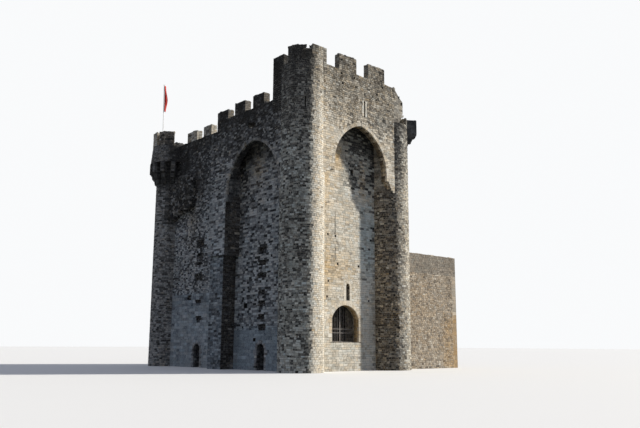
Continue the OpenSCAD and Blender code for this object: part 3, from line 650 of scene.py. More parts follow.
# Sets plain values on a shader, and joins a colour to it
def finished(tree, shader, colour, **values):
    tree.links.new(colour, shader.inputs["Base Color"])
    for name, value in values.items():
        shader.inputs[name.replace("_", " ")].default_value = value


def add_node(tree, kind, **inputs):
    node = tree.nodes.new(kind)
    for name, value in inputs.items():
        node.inputs[name.replace("_", " ")].default_value = value
    return node


def noise(tree, vector, scale, detail=4.0, roughness=0.6):
    node = add_node(tree, "ShaderNodeTexNoise", Scale=scale, Detail=detail, Roughness=roughness)
    tree.links.new(vector, node.inputs["Vector"])
    return node.outputs["Fac"]


def stretched(tree, vector, scale):
    node = tree.nodes.new("ShaderNodeMapping")
    node.inputs["Scale"].default_value = scale
    tree.links.new(vector, node.inputs["Vector"])
    return node.outputs["Vector"]


def ramp(tree, value, stops):
    node = tree.nodes.new("ShaderNodeValToRGB")
    elements = node.color_ramp.elements
    while len(elements) < len(stops):
        elements.new(0.5)
    for element, (place, colour) in zip(elements, stops):
        element.position = place
        element.color = (*colour, 1)
    tree.links.new(value, node.inputs["Fac"])
    return node.outputs["Color"]


def spread_of(tree, value, low, high, to_low=0.0, to_high=1.0):
    node = tree.nodes.new("ShaderNodeMapRange")
    for name, number in (("From Min", low), ("From Max", high), ("To Min", to_low), ("To Max", to_high)):
        node.inputs[name].default_value = number
    tree.links.new(value, node.inputs["Value"])
    return node.outputs["Result"]


def mixed(tree, factor, first, second, kind="MIX"):
    node = tree.nodes.new("ShaderNodeMix")
    node.data_type = "RGBA"
    node.blend_type = kind
    for socket, value in ((node.inputs["Factor"], factor), (node.inputs[6], first), (node.inputs[7], second)):
        if isinstance(value, (int, float)):
            socket.default_value = value
        elif isinstance(value, tuple):
            socket.default_value = (*value, 1)
        else:
            tree.links.new(value, socket)
    return node.outputs[2]


def math_node(tree, kind, first, second):
    node = tree.nodes.new("ShaderNodeMath")
    node.operation = kind
    for socket, value in zip(node.inputs, (first, second)):
        if isinstance(value, (int, float)):
            socket.default_value = value
        else:
            tree.links.new(value, socket)
    return node.outputs[0]


def bumped(tree, shader, height, strength, distance):
    node = tree.nodes.new("ShaderNodeBump")
    node.inputs["Strength"].default_value = strength
    node.inputs["Distance"].default_value = distance
    tree.links.new(height, node.inputs["Height"])
    tree.links.new(node.outputs["Normal"], shader.inputs["Normal"])


# Limestone: a colour for each stone from its tone and warmth, mottled and darkened by weather. Bare walls
# have no stones of their own, so they take courses around one tone.
def limestone(name, stops, mottle, soot_from, soot_to, soot, bare_tone=None):
    material, tree, shader = new_material(name)
    place = place_in(tree)
    if bare_tone is None:
        tone = attribute(tree, "tone")
        warmth = attribute(tree, "warmth")
    else:
        parts = split(tree, place)
        courses = tree.nodes.new("ShaderNodeCombineXYZ")
        tree.links.new(math_node(tree, "ADD", parts["X"], parts["Y"]), courses.inputs["X"])
        tree.links.new(parts["Z"], courses.inputs["Y"])
        bricks = add_node(tree, "ShaderNodeTexBrick", Color1=(0, 0, 0, 1), Color2=(1, 1, 1, 1),
                          Mortar=(0.5, 0.5, 0.5, 1), Scale=1.0, Mortar_Size=0.006, Mortar_Smooth=0.4,
                          Brick_Width=0.36, Row_Height=0.18)
        tree.links.new(courses.outputs["Vector"], bricks.inputs["Vector"])
        tone = spread_of(tree, bricks.outputs["Color"], 0.0, 1.0, bare_tone - 0.25, bare_tone + 0.25)
        warmth = spread_of(tree, noise(tree, place, 2.0, 2.0), 0.3, 0.7, -0.3, 0.3)
        joint = bricks.outputs["Fac"]
    grain = noise(tree, place, 8.0, 6.0, 0.75)
    tone = math_node(tree, "ADD", tone, spread_of(tree, grain, 0.25, 0.75, -0.38, 0.38))
    colour = ramp(tree, tone, list(zip(TONES, stops)))
    colour = mixed(tree, spread_of(tree, warmth, 0.0, 1.0), colour, OCHRE, "MULTIPLY")
    # Warmth below zero tints the stones blue; on the shaded sides this is painted sky light in shade
    colour = mixed(tree, spread_of(tree, warmth, 0.0, -1.0), colour, BLUE_TINT_FOR_SHADE, "MULTIPLY")
    patches = spread_of(tree, noise(tree, place, 0.55, 5.0, 0.65), 0.45, 0.7, 0.0, mottle)
    colour = mixed(tree, patches, colour, LICHEN, "MULTIPLY")
    streaks = noise(tree, stretched(tree, place, (1.3, 1.3, 0.16)), 1.0, 5.0, 0.6)
    run_off = spread_of(tree, streaks, 0.5, 0.7, 0.0, 1.4 * mottle)
    colour = mixed(tree, run_off, colour, STREAK, "MULTIPLY")
    ragged_z = math_node(tree, "ADD", split(tree, place)["Z"], spread_of(tree, streaks, 0.3, 0.7, -2.5, 2.5))
    weather = spread_of(tree, ragged_z, soot_from, soot_to, 0.0, soot)
    colour = mixed(tree, weather, colour, SOOT, "MULTIPLY")
    relief = noise(tree, place, 30.0, 8.0, 0.75)
    if bare_tone is not None:
        colour = mixed(tree, joint, colour, JOINT, "MULTIPLY")
        relief = math_node(tree, "SUBTRACT", math_node(tree, "MULTIPLY", relief, 0.5), joint)
    finished(tree, shader, colour, Roughness=0.93, Specular_IOR_Level=0.2)
    bumped(tree, shader, relief, 0.7, 0.006 if bare_tone is None else 0.012)
    return material


def attribute(tree, name):
    node = tree.nodes.new("ShaderNodeAttribute")
    node.attribute_name = name
    return node.outputs["Fac"]


# Colours of the stones by tone, from the darkest to the palest
TONES = (0.0, 0.35, 0.6, 1.0)
CREAM = ((0.05, 0.047, 0.044), (0.33, 0.305, 0.265), (0.60, 0.56, 0.48), (0.88, 0.84, 0.75))
# The sides' colours are darker and cooler than the front's, partly painted shade of the sides turned from the
# sun
COOL_SHADED_SIDE = ((0.03, 0.03, 0.031), (0.17, 0.172, 0.175), (0.36, 0.36, 0.355), (0.70, 0.69, 0.66))
DARK = ((0.04, 0.04, 0.04), (0.14, 0.137, 0.13), (0.27, 0.262, 0.25), (0.55, 0.53, 0.50))
WARM = ((0.16, 0.135, 0.11), (0.38, 0.33, 0.27), (0.54, 0.47, 0.38), (0.76, 0.70, 0.60))
OCHRE = (1.0, 0.78, 0.50)
BLUE_TINT_FOR_SHADE = (0.76, 0.89, 1.0)
LICHEN = (0.62, 0.58, 0.52)
STREAK = (0.5, 0.5, 0.5)
SOOT = (0.24, 0.24, 0.24)
JOINT = (0.55, 0.55, 0.55)

# For each slot its colours, mottling, the heights between which soot grows, its strength and the bare tone
STONES = {
    "stone_front": (CREAM, 0.35, 18.0, 24.5, 0.6, 0.36),
    "stone_side": (COOL_SHADED_SIDE, 0.35, 13.0, 22.0, 0.85, 0.33),
    "stone_dark": (DARK, 0.35, 14.0, 24.0, 0.6, 0.3),
    "stone_restored": (WARM, 0.25, 30.0, 40.0, 0.0, 0.38),
}
LAID = {slot: limestone(slot, *values[:5]) for slot, values in STONES.items()}
BARE = {slot: limestone(slot.replace("stone", "bare"), *values) for slot, values in STONES.items()}


def iron_material():
    material, tree, shader = new_material("gate_iron")
    place = place_in(tree)
    rust = spread_of(tree, noise(tree, place, 14.0, 6.0, 0.7), 0.5, 0.7)
    colour = mixed(tree, rust, (0.16, 0.155, 0.15), (0.15, 0.08, 0.05))
    finished(tree, shader, colour, Metallic=0.3)
    tree.links.new(spread_of(tree, rust, 0.0, 1.0, 0.5, 0.85), shader.inputs["Roughness"])
    bumped(tree, shader, noise(tree, place, 90.0, 4.0), 0.4, 0.002)
    return material


def pole_material():
    material, tree, shader = new_material("pole_paint")
    place = place_in(tree)
    worn = spread_of(tree, noise(tree, place, 6.0, 5.0), 0.45, 0.7)
    colour = mixed(tree, worn, (0.55, 0.56, 0.58), (0.33, 0.32, 0.31))
    finished(tree, shader, colour, Roughness=0.45, Metallic=0.5)
    return material


def cloth_material():
    material, tree, shader = new_material("flag_cloth")
    place = place_in(tree)
    faded = spread_of(tree, noise(tree, place, 3.0, 4.0), 0.3, 0.75)
    colour = mixed(tree, faded, (0.90, 0.03, 0.02), (0.95, 0.10, 0.06))
    finished(tree, shader, colour, Roughness=0.8, Sheen_Weight=0.3)
    bumped(tree, shader, noise(tree, place, 300.0, 2.0), 0.3, 0.0008)
    return material


FINISH = dict(BARE, iron=iron_material(), pole=pole_material(), flag_cloth=cloth_material())


def finish_nodes():
    slots = {part["node"]: part["material_slot"] for part in frame["record"]["subparts"]}
    for name, node in frame["nodes"].items():
        material = FINISH[slots[name]]
        if not node.material_slots:
            node.data.materials.append(material)
        for place in node.material_slots:
            place.material = material


# Test for the keep-out of the gate and its ring
def gate_hole(margin):
    def test(u, v):
        centre = GATE_TOP - GATE_R
        x = abs(u - GATE_X)
        head = (v >= centre) & (np.hypot(u - GATE_X, v - centre) < GATE_R + margin) & (x < GATE_HALF + margin)
        jambs = (v < centre) & (v > SILL - 0.05) & (x < GATE_HALF + margin)
        return head | jambs

    return test


# Square holes by their middle and side, and oblong ones by their middle, width and height
def squares(*places):
    return [(u - side / 2, u + side / 2, v - side / 2, v + side / 2) for u, v, side in places]


def oblongs(*places):
    return [(u - wide / 2, u + wide / 2, v - high / 2, v + high / 2) for u, v, wide, high in places]


RECESS_PUTLOGS = squares((-2.13, 10.44, 0.16), (-1.33, 10.37, 0.16), (-1.08, 8.19, 0.17), (-2.59, 7.91, 0.15),
                         (-2.08, 6.8, 0.15), (-2.21, 5.61, 0.16), (1.22, 8.17, 0.18), (2.18, 7.95, 0.14),
                         (2.35, 5.46, 0.16), (0.48, 15.83, 0.32), (2.75, 15.87, 0.22))
FRONT_PUTLOGS = squares((-2.06, HIGH_SOLE + 0.83, 0.15), (-0.69, HIGH_SOLE + 0.85, 0.15),
                        (2.79, HIGH_SOLE + 0.9, 0.14), (-2.07, HIGH_SOLE - 0.29, 0.17),
                        (-0.64, HIGH_SOLE - 0.33, 0.16),
                        (1.17, HIGH_SOLE - 0.37, 0.15), (2.66, HIGH_SOLE - 0.34, 0.15),
                        (-1.95, HIGH_WALK - 0.11, 0.16), (1.97, HIGH_WALK - 0.11, 0.17))


# The wall of the front recess, with the gate and the slit
def front_recess():
    work = Masonry("stones_front_recess", 11)
    surface = facing_front(FRONT_Y)
    half = SIDE_X - FRONT_R + 0.02
    slit = (SLIT_X - SLIT_HALF, SLIT_X + SLIT_HALF, SLIT_FOOT, SLIT_TOP)
    frame_of_slit = (slit[0] - SLIT_FRAME, slit[1] + SLIT_FRAME, slit[2] - SLIT_FRAME, slit[3] + 0.24)
    # Stains, and painted light and shade: in the right drum's shadow, beyond 1.0 along, the stones are
    # painted paler and bluer, bluer still higher up and warmer low down; high up right of the middle, at the
    # very top and in the corner by the right drum they are painted dark
    shade = look(0.74, 0.05,
                 (both(along(-1.4, -2.6), upward(4.0, 6.0)), -0.10, 0.35),
                 (patch(-1.1, 7.9, 1.7, 1.2), -0.06, 0.5),
                 (patch(-0.4, 4.5, 1.2, 1.5), 0.10, -0.05),
                 (both(along(1.0, 1.8), upward(14.5, 12.0)), 0.20, -0.55, 0.35),
                 (both(both(along(1.0, 1.8), upward(14.5, 12.0)), upward(7.0, 9.0)), -0.06, -0.3, 0.35),
                 (patch(2.55, 9.5, 0.16, 3.0), -0.16, 0.0),
                 (both(along(1.0, 1.8), upward(9.0, 5.5)), 0.10, 0.45),
                 (both(along(-0.8, 0.6), upward(13.5, 15.0)), -0.42, -0.45, 0.4),
                 (both(patch(2.1, 8.0, 0.22, 5.0), upward(3.0, 5.0)), -0.22, 0.0),
                 (upward(17.2, 18.6), -0.45, 0.0),
                 (patch(-1.15, 16.6, 0.5, 1.0), 0.0, 0.85),
                 (patch(-1.9, 15.2, 0.7, 1.0), 0.12, 0.1),
                 (patch(-2.2, 14.2, 0.8, 1.6), 0.08, 0.1),
                 (patch(1.7, 15.6, 0.35, 1.6), 0.02, 0.9),
                 (along(2.6, 3.0), -0.34, 0.15))
    keep = none_of(gate_hole(GATE_RING * 0.75))
    cracks = crack(work, surface, [(-1.37, 12.2), (-1.35, 10.5)], 0.045)
    cracks += crack(work, surface, [(-1.26, 10.0), (-0.9, 9.65)], 0.04)
    cracks += crack(work, surface, [(-1.35, 9.6), (-1.32, 8.5)], 0.03)
    gaps = RECESS_PUTLOGS + cracks
    lay(work, surface, (-half, half), (0, RECESS_ROUGH), ASHLAR, keep, shade, 0.24, gaps + [frame_of_slit])
    lay(work, surface, (-half, half), (RECESS_ROUGH, HIGH_WALK - 1.0), ASHLAR, None, shade, 0.3,
        RECESS_PUTLOGS)
    line_holes_with_painted_shade(work, surface, RECESS_PUTLOGS)
    gate_ring(work, surface)
    slit_frame(work, surface)
    work.build("stone_front")


# Ring and jambs of the gate
def gate_ring(work, surface):
    rng = work.rng
    centre = GATE_TOP - GATE_R
    apex = math.asin(GATE_HALF / GATE_R)
    count = GATE_STONES
    marks = np.linspace(-apex, apex, count + 1)
    start, end = marks[:-1] + 0.003, marks[1:] - 0.003
    outer = GATE_R + GATE_RING * rng.uniform(0.85, 1.12, count)
    inner = np.full(count, GATE_R - 0.008)

    def at(radius, angle):
        return np.stack([GATE_X + radius * np.sin(angle), centre + radius * np.cos(angle)], -1)

    quad = np.stack([at(inner, start), at(inner, end), at(outer, end), at(outer, start)], 1)[:, ::-1]
    middle = (start + end) / 2
    tone = 0.76 + 0.24 * np.exp(-((middle - 0.12) / 0.3) ** 2)
    wedges(work, surface, quad, GATE_DEPTH, BLOCK_PROUD, tone, 0.1, 0.2, (0.55, 1.0))
    spring = centre + GATE_R * math.cos(apex)
    for side in (-1, 1):
        rects = []
        for i, (low, high) in enumerate(pairwise(course_levels(rng, SILL, spring, BLOCK_COURSE))):
            width = 0.42 if i % 2 else 0.26
            ends = sorted((GATE_X + side * (GATE_HALF - 0.008), GATE_X + side * (GATE_HALF + width)))
            rects.append((*ends, low + 0.006, high - 0.006))
        wedges(work, surface, outlines(rects), GATE_DEPTH, BLOCK_PROUD, 0.78, 0.14, 0.3, (0.45, 1.0))


# Pale stones around the slit over the gate
def slit_frame(work, surface):
    rng = work.rng
    left, right = SLIT_X - SLIT_HALF, SLIT_X + SLIT_HALF
    spring = SLIT_TOP - SLIT_HALF
    rects = [(left - SLIT_FRAME, right + SLIT_FRAME, SLIT_FOOT - SLIT_FRAME, SLIT_FOOT)]
    for low, high in pairwise(course_levels(rng, SLIT_FOOT, spring, BLOCK_COURSE)):
        rects.append((left - SLIT_FRAME, left, low, high))
        rects.append((right, right + SLIT_FRAME, low, high))
    place_stones(work, surface, np.array(rects), SMOOTH, look(0.86, 0.1), 0.1)
    start, end = (np.array(angles) for angles in zip(*pairwise(np.linspace(0, math.pi, 6))))
    quads = ring_quads(SLIT_X, spring, SLIT_HALF - 0.004, SLIT_HALF + 0.25, start, end)
    wedges(work, surface, quads, 0.3, BLOCK_PROUD, 0.84, 0.1, 0.1, (0.3, 0.8))
    corner = np.array([[0.45, 0.10], [0.45, 0.42], [0.10, 0.42], [0.32, 0.32]])
    corners = [corner + (SLIT_X, spring), corner[::-1] * (-1, 1) + (SLIT_X, spring)]
    wedges(work, surface, np.array(corners), 0.1, 0.013, 0.8, 0.1, 0.1, (0.5, 0.1))


# The wall over the front arch, up to the walk, and the parapet on it
FRONT_MERLONS = [(-2.33, -0.40, HIGH_TOP), (0.95, 2.90, HIGH_TOP)]
TURRET_END = -3.67
JOINT_RIGHT = 3.25
LEDGE_END = 4.11
ARROW = (0.425, 0.575, 20.15, 21.5)


def front_arch_wall():
    work = Masonry("stones_front_arch", 12)
    surface = facing_front(ARCH_FRONT_Y)
    reach = math.sqrt(FRONT_R ** 2 - (FRONT_Y - ARCH_FRONT_Y) ** 2)
    left = -SIDE_X + reach - 0.06
    right = SIDE_X - reach + 0.06
    outline = [(left, FRONT_FOOT - 0.3), (-3.8, FRONT_FOOT - 0.3), (-3.1, FRONT_FOOT),
               (JOINT_RIGHT, FRONT_FOOT), (3.65, FRONT_FOOT - 0.75), (right, FRONT_FOOT - 0.86),
               (right, BROKEN), (right, HIGH_WALK), (left, HIGH_WALK)]
    arrow = (ARROW[0] - 0.24, ARROW[1] + 0.24, ARROW[2], ARROW[3])
    keep = all_of(in_outline(outline), none_of(in_pointed(FRONT_ARCH, 0.24, 10), broken_away))
    shade = look(0.71, 0.2,
                 (along(-2.6, 3.0), -0.14, -0.05),
                 (upward(18.0, 20.5), -0.10, 0.0),
                 (upward(22.3, 24.0), -0.14, 0.0),
                 (patch(-0.6, 21.0, 1.6, 1.4), -0.05, 0.0),
                 (patch(-3.3, 16.4, 0.8, 1.3), 0.0, 0.1),
                 (patch(-3.6, 19.5, 1.2, 1.8), 0.16, 0.0),
                 (patch(3.6, 16.0, 0.6, 1.2), 0.08, 0.0),
                 (patch(1.9, HIGH_TOP, 1.0, 1.0), 0.22, 0.0),
                 (patch(2.6, 20.2, 0.9, 0.7), -0.12, -0.3))
    lay(work, surface, (left, right), (FRONT_FOOT - 0.86, FRONT_ROUGH), ASHLAR, keep, shade, 0.26)
    lay(work, surface, (left, right), (FRONT_ROUGH, HIGH_WALK), RUBBLE, keep, shade, 0.44,
        FRONT_PUTLOGS + [arrow])
    line_holes_with_painted_shade(work, surface, FRONT_PUTLOGS)
    # The reveals of the ring and jambs are painted dark, as painted shade, the ring's darkest at the crown
    arch_ring(work, surface, FRONT_ARCH, 0.28, ARCH_T, 0.74, 0.2, (0.40, 0.14, 0.55))
    jamb_stones(work, surface, FRONT_ARCH, FRONT_FOOT, ARCH_T, 0.72, 0.3, (0.36, 0.7))
    springer_roots(work)
    span = (TURRET_END, LEDGE_END + 0.1)
    lay(work, surface, span, (HIGH_WALK, HIGH_SOLE), RUBBLE, none_of(broken_away), shade, 0.44, FRONT_PUTLOGS)
    lay_merlons(work, surface, FRONT_MERLONS, HIGH_SOLE, RUBBLE, shade, 0.44, FRONT_PUTLOGS)
    dress_parapet(work, (0, ARCH_FRONT_Y, 0), (1, 0, 0), (0, 1, 0), FRONT_PARAPET_T,
                  (TURRET_END, JOINT_RIGHT), HIGH_WALK, HIGH_SOLE, FRONT_MERLONS, look(0.5))
    arrow_frame(work, surface)
    work.build("stone_front")


# Rough stones under the front arch's right springer
def springer_roots(work):
    rng = work.rng
    line = [(3.15, ARCH_FRONT_Y + 0.05, FRONT_FOOT + 0.03), (3.27, ARCH_FRONT_Y + 0.05, FRONT_FOOT - 0.02),
            (3.67, ARCH_FRONT_Y + 0.05, FRONT_FOOT - 0.72), (3.95, ARCH_FRONT_Y + 0.05, FRONT_FOOT - 0.8)]
    places = along_line(rng, line, (0, ARCH_T - 0.1, 0), 0.17, 0.03)
    rough_stones(work, places, (0.06, 0.11), 0.5, 0.45, 0.5)


# The high front's end has fallen: nothing stands beyond this edge
BROKEN_EDGE = [(4.69, 20.5), (5.0, 21.1), (5.16, 21.64), (5.16, 22.45), (4.60, 22.93), (LEDGE_END, 23.5)]


def broken_away(u, v):
    edge = np.interp(v, [0] + [z for x, z in BROKEN_EDGE], [9] + [x for x, z in BROKEN_EDGE])
    return (v > BROKEN) & (u > edge)


# Pale long and short stones beside the arrow slit
def arrow_frame(work, surface):
    rng = work.rng
    rects = []
    levels = course_levels(rng, ARROW[2], ARROW[3], (0.18, 0.3))
    for low, high in pairwise(levels):
        left, right = rng.uniform(0.14, 0.24, 2)
        rects.append((ARROW[0] - left, ARROW[0], low, high))
        rects.append((ARROW[1], ARROW[1] + right, low, high))
    place_stones(work, surface, np.array(rects), dict(SMOOTH, proud=0.022), look(0.92), 0.3)


# Drums of the front towers: places around them are angles in degrees
def arc(radius, *angles):
    return tuple(math.radians(angle) * radius for angle in angles)


def around(radius, change):
    return lambda u, v: change(np.degrees(u / radius), v)


# Weight round a front drum from one angle to another, and over the height where that is given
def drum_side(start, end, *heights):
    turn = around(FRONT_R, along(start, end))
    return both(turn, upward(*heights)) if heights else turn


def drum_holes(radius, *places):
    return oblongs(*[(math.radians(angle) * radius, v, wide, high) for angle, v, wide, high in places])


# The left drum's light is painted in its tone: stones below about 255 degrees, turned from the sun, are dark
# and blue, and those beyond pale and warm, so the edge of light and shade lies there; besides, patches and
# darker tops
LEFT_DRUM_TONES_AND_PAINTED_LIGHT = look(0.335, -0.5, (drum_side(262, 249), 0.0, 0.0, 0.25),
                      (drum_side(249, 262), 0.57, 0.65),
                      (drum_side(240, 225, 3.5, 1.0), 0.2, 0.1),
                      (drum_side(262, 250, 16.0, 20.0), -0.25, 0.2, -0.35),
                      (drum_side(282, 300, 13.0, 16.0), -0.14, 0.0),
                      (drum_side(252, 262, 18.0, 22.0), -0.16, 0.0),
                      (drum_side(280, 265, 22.6, 23.8), -0.2, 0.0),
                      (patch(arc(FRONT_R, 222)[0], 5.0, 0.8, 1.4), 0.10, 0.0),
                      (patch(arc(FRONT_R, 236)[0], 9.5, 0.5, 2.0), -0.08, 0.0),
                      (patch(arc(FRONT_R, 243)[0], 13.0, 0.4, 1.5), 0.14, 0.0))
# The right drum is laid as the left one's mirror image
# Painted shade: beyond 298 degrees as laid, on the side turned from the sun, the stones are darker and
# browner; besides, patches and darker stones up high
RIGHT_DRUM_TONES_AND_PAINTED_SHADE = look(0.44, 0.05,
                       (drum_side(285, 298), -0.30, 0.16, 0.0),
                       (drum_side(285, 298, 11.5, 9.0), 0.04, 0.16),
                       (patch(arc(FRONT_R, 305)[0], 4.2, 0.7, 1.2), -0.04, 0.4),
                       (upward(14.5, 18.5), -0.17, -0.15),
                       (drum_side(262, 274, 15.5, 18.0), -0.17, -0.1),
                       (patch(arc(FRONT_R, 262)[0], 8.0, 0.7, 5.0), 0.10, 0.0),
                       (drum_side(230, 200), 0.05, 0.0))


def front_drum(name, seed, right, shade, holes):
    work = Masonry(name, seed)
    surface = drum(-SIDE_X, FRONT_Y, FRONT_R)
    if right:
        surface = mirrored(surface)
    outer = math.degrees(math.asin((FRONT_Y - ARCH_FRONT_Y) / FRONT_R))

    def keep(u, v):
        angle = np.degrees(u / FRONT_R)
        front_arch = (angle > 360 - outer - 1) & (v > FRONT_FOOT - (0.75 if right else 0.3))
        side_arch = (angle < 90 + outer + 1) & (v > SIDE_FOOT - 1.2)
        wall_joint = right & (angle > SIDE_WALL_ARC[0]) & (angle < SIDE_WALL_ARC[1]) & (v < SIDE_WALL_TOP)
        return ~(front_arch | side_arch | wall_joint)

    top = BROKEN if right else HIGH_WALK
    start, end = arc(FRONT_R, 90, 360)
    lay(work, surface, (start, end), (0, DRUM_ROUGH), ROUND, keep, shade, 0.36, holes)
    rough = dict(ROUND, wave=0.010, joint=0.016, relief=0.012)
    lay(work, surface, (start, end), (DRUM_ROUGH, top), rough, keep, shade, 0.44, holes)
    line_holes_with_painted_shade(work, surface, holes)
    return work, surface


def front_towers():
    slit = drum_holes(FRONT_R, (236, WALK + 0.15, 0.12, 0.9))
    work, surface = front_drum("stones_tower_front_left", 21, False, LEFT_DRUM_TONES_AND_PAINTED_LIGHT, slit)
    shade = LEFT_DRUM_TONES_AND_PAINTED_LIGHT
    lay(work, surface, arc(FRONT_R, 152, 292), (HIGH_WALK, HIGH_SOLE - 0.25), RUBBLE, None, shade, 0.44)
    lay(work, surface, arc(FRONT_R, 187, 292), (HIGH_SOLE - 0.25, HIGH_TOP - 0.52), RUBBLE, None, shade, 0.44)
    for a, b, top in ((187, 237, HIGH_TOP - 0.25), (255, 292, HIGH_TOP - 0.1)):
        lay(work, surface, arc(FRONT_R, a, b), (HIGH_TOP - 0.52, top), RUBBLE, None, shade, 0.44)
        ring_top(work, FRONT_R, a + 2, b - 2, top, 0.35)
    ring_top(work, FRONT_R, 238, 254, HIGH_TOP - 0.52, 0.3)
    front = facing_front(ARCH_FRONT_Y)
    lit = look(0.6, 0.05)
    lay(work, front, (-4.3, TURRET_END), (HIGH_WALK, HIGH_TOP), RUBBLE, None, lit, 0.44)
    flank = standing((TURRET_END, ARCH_FRONT_Y, 0), (0, 1, 0), (1, 0, 0))
    lay(work, flank, (0, FRONT_PARAPET_T), (HIGH_SOLE, HIGH_TOP), RUBBLE, None, lit, 0.3)
    ragged_top(work, (0, ARCH_FRONT_Y, HIGH_TOP), (1, 0, 0), (0, 1, 0), -4.4, TURRET_END, FRONT_PARAPET_T)
    work.build("stone_front")
    holes = drum_holes(FRONT_R, *[(540 - angle, v, side, side) for angle, v, side in RIGHT_DRUM_PUTLOGS])
    work, surface = front_drum("stones_tower_front_right", 22, True, RIGHT_DRUM_TONES_AND_PAINTED_SHADE, holes)
    broken_crown(work)
    work.build("stone_front")


RIGHT_DRUM_PUTLOGS = [(236.6, 5.95, 0.16), (241, 4.8, 0.14), (248.4, 3.35, 0.17), (270.8, 10.5, 0.13),
                      (213.8, 6.35, 0.15)]


# Rough stones around the top of a ring wall on the front left tower
def ring_top(work, radius, start, end, top, tone):
    rng = work.rng
    for depth in (0.10, 0.48):
        count = max(1, round(math.radians(end - start) * (radius - depth) / 0.27))
        angles = np.radians(np.linspace(start, end, count + 1) + rng.normal(0, 0.6, count + 1))
        out = radius - depth
        places = np.stack([-SIDE_X + out * np.cos(angles), FRONT_Y + out * np.sin(angles),
                           top - rng.uniform(0.03, 0.075, count + 1)], -1)
        rough_stones(work, places, (0.08, 0.14), tone, 0.3)


# The crown that is left of the front right tower, its facing and its ragged top
def broken_crown(work):
    rng = work.rng
    surface = mirrored(drum(-SIDE_X, FRONT_Y, FRONT_R))
    # The crown stands on the side away from the high front: beyond this angle, laid as a mirror image
    start, end = 95, 245
    lay(work, surface, arc(FRONT_R, start, end), (BROKEN, CROWN), RUBBLE, None, look(0.35, -0.2), 0.35)
    angles = np.radians(180 - np.linspace(start + 3, end - 3, 17))
    for depth in (0.12, 0.42, 0.75):
        out = FRONT_R - depth
        places = np.stack([SIDE_X + out * np.cos(angles), FRONT_Y + out * np.sin(angles),
                           CROWN - rng.uniform(0.02, 0.09, len(angles))], -1)
        places += rng.normal(0, 0.04, places.shape) * (1, 1, 0)
        rough_stones(work, places, (0.09, 0.17), 0.42, 0.3, -0.3)
    rest = [(SIDE_X + x, FRONT_Y + y, BROKEN - rng.uniform(0, 0.05)) for x in np.arange(-1.3, 0.7, 0.27)
            for y in np.arange(-1.45, -0.75, 0.27) if x * x + y * y < 2.4]
    rough_stones(work, np.array(rest) + rng.normal(0, 0.03, (len(rest), 3)), (0.09, 0.16), 0.4, 0.3)


# The box on the front right tower, of large blocks
BOX_TURN = math.radians(-32)
BOX_OUT = FRONT_R + 0.75
BOX_HALF = 0.6


def hanging_box():
    work = Masonry("stones_box", 23)
    low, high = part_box("box_front_right")
    out = np.array([math.cos(BOX_TURN), math.sin(BOX_TURN), 0])
    side = np.array([-out[1], out[0], 0])
    axis = np.array([SIDE_X, FRONT_Y, 0])
    big = dict(SMOOTH, course=(0.36, 0.44), length=(0.35, 0.6), proud=0.02)
    shade = look(0.34, -0.2, (upward(high[2] - 0.3, high[2]), -0.15, 0.0))
    face = standing(axis + BOX_OUT * out, side, out)
    lay(work, face, (-BOX_HALF, BOX_HALF), (low[2], high[2]), big, None, shade, 0.2)
    for turn in (-1, 1):
        flank = standing(axis + turn * BOX_HALF * side, out, turn * side)
        lay(work, flank, (FRONT_R - 0.2, BOX_OUT), (low[2], high[2]), big, None, shade, 0.2)
    ahead = flat(axis + np.array([0, 0, high[2]]), out, side, (0, 0, 1))
    lay(work, ahead, (FRONT_R + 0.5, BOX_OUT), (-BOX_HALF, BOX_HALF), COPING, None, shade, 0.2)
    work.build("stone_dark")


# Side surfaces, for the left side; the right one is its mirror image
def side_of(surface, right):
    return mirrored(surface) if right else surface


OUTLETS = (-5.05, 4.15)
OUTLET_HALF = 0.5
OUTLET_TOP = 2.05
OUTLET_DEPTH = 0.4
OUTLET_STONES = 11
FRONT_POCKETS = [(-5.10, 9.4, 1.15, 0.60), (-5.15, 8.4, 1.10, 0.42), (-5.05, 7.4, 1.10, 0.42),
                 (-5.10, 6.05, 0.90, 0.40), (-5.15, 5.18, 0.95, 0.45), (-5.07, 4.14, 0.78, 0.40),
                 (-5.20, 3.3, 0.85, 0.48)]
# Pockets lined in black, as painted shade
BLACK_POCKETS = [(-2.97, 5.06, 0.48, 0.40), (-4.25, 2.35, 0.33, 0.26)]
REAR_POCKETS = [(4.10, 10.85, 1.15, 0.75), (4.05, 9.75, 1.10, 0.52), (4.07, 9.06, 0.95, 0.30),
                (4.20, 7.85, 1.30, 0.62), (4.15, 5.7, 0.90, 0.28), (3.95, 4.25, 0.90, 0.36),
                (5.65, 6.1, 0.60, 0.42)]


def outlet_hole(margin):
    def test(u, v):
        hit = np.zeros(np.shape(u), bool)
        for mid in OUTLETS:
            spring = OUTLET_TOP - OUTLET_HALF
            hit |= (abs(u - mid) < OUTLET_HALF + margin) & (v < spring)
            hit |= (v >= spring) & (np.hypot(u - mid, v - spring) < OUTLET_HALF + margin)
        return hit

    return test


# Round heads of the outlets
def outlet_rings(work, surface):
    rng = work.rng
    for mid in OUTLETS:
        spring = OUTLET_TOP - OUTLET_HALF
        marks = np.linspace(0, math.pi, OUTLET_STONES + 1)
        start, end = marks[:-1] + 0.012, marks[1:] - 0.012
        outer = OUTLET_HALF + 0.24 * rng.uniform(0.9, 1.1, OUTLET_STONES)
        inner = np.full(OUTLET_STONES, OUTLET_HALF - 0.006)
        quads = ring_quads(mid, spring, inner, outer, start, end)
        wedges(work, surface, quads, OUTLET_DEPTH, BLOCK_PROUD, 0.55, 0.15, -0.1, (0.3, 0.0))
        jamb_stones(work, surface, (mid, OUTLET_HALF, 0, spring), 0.02, OUTLET_DEPTH, 0.55, -0.1, (0.3, 0.0))


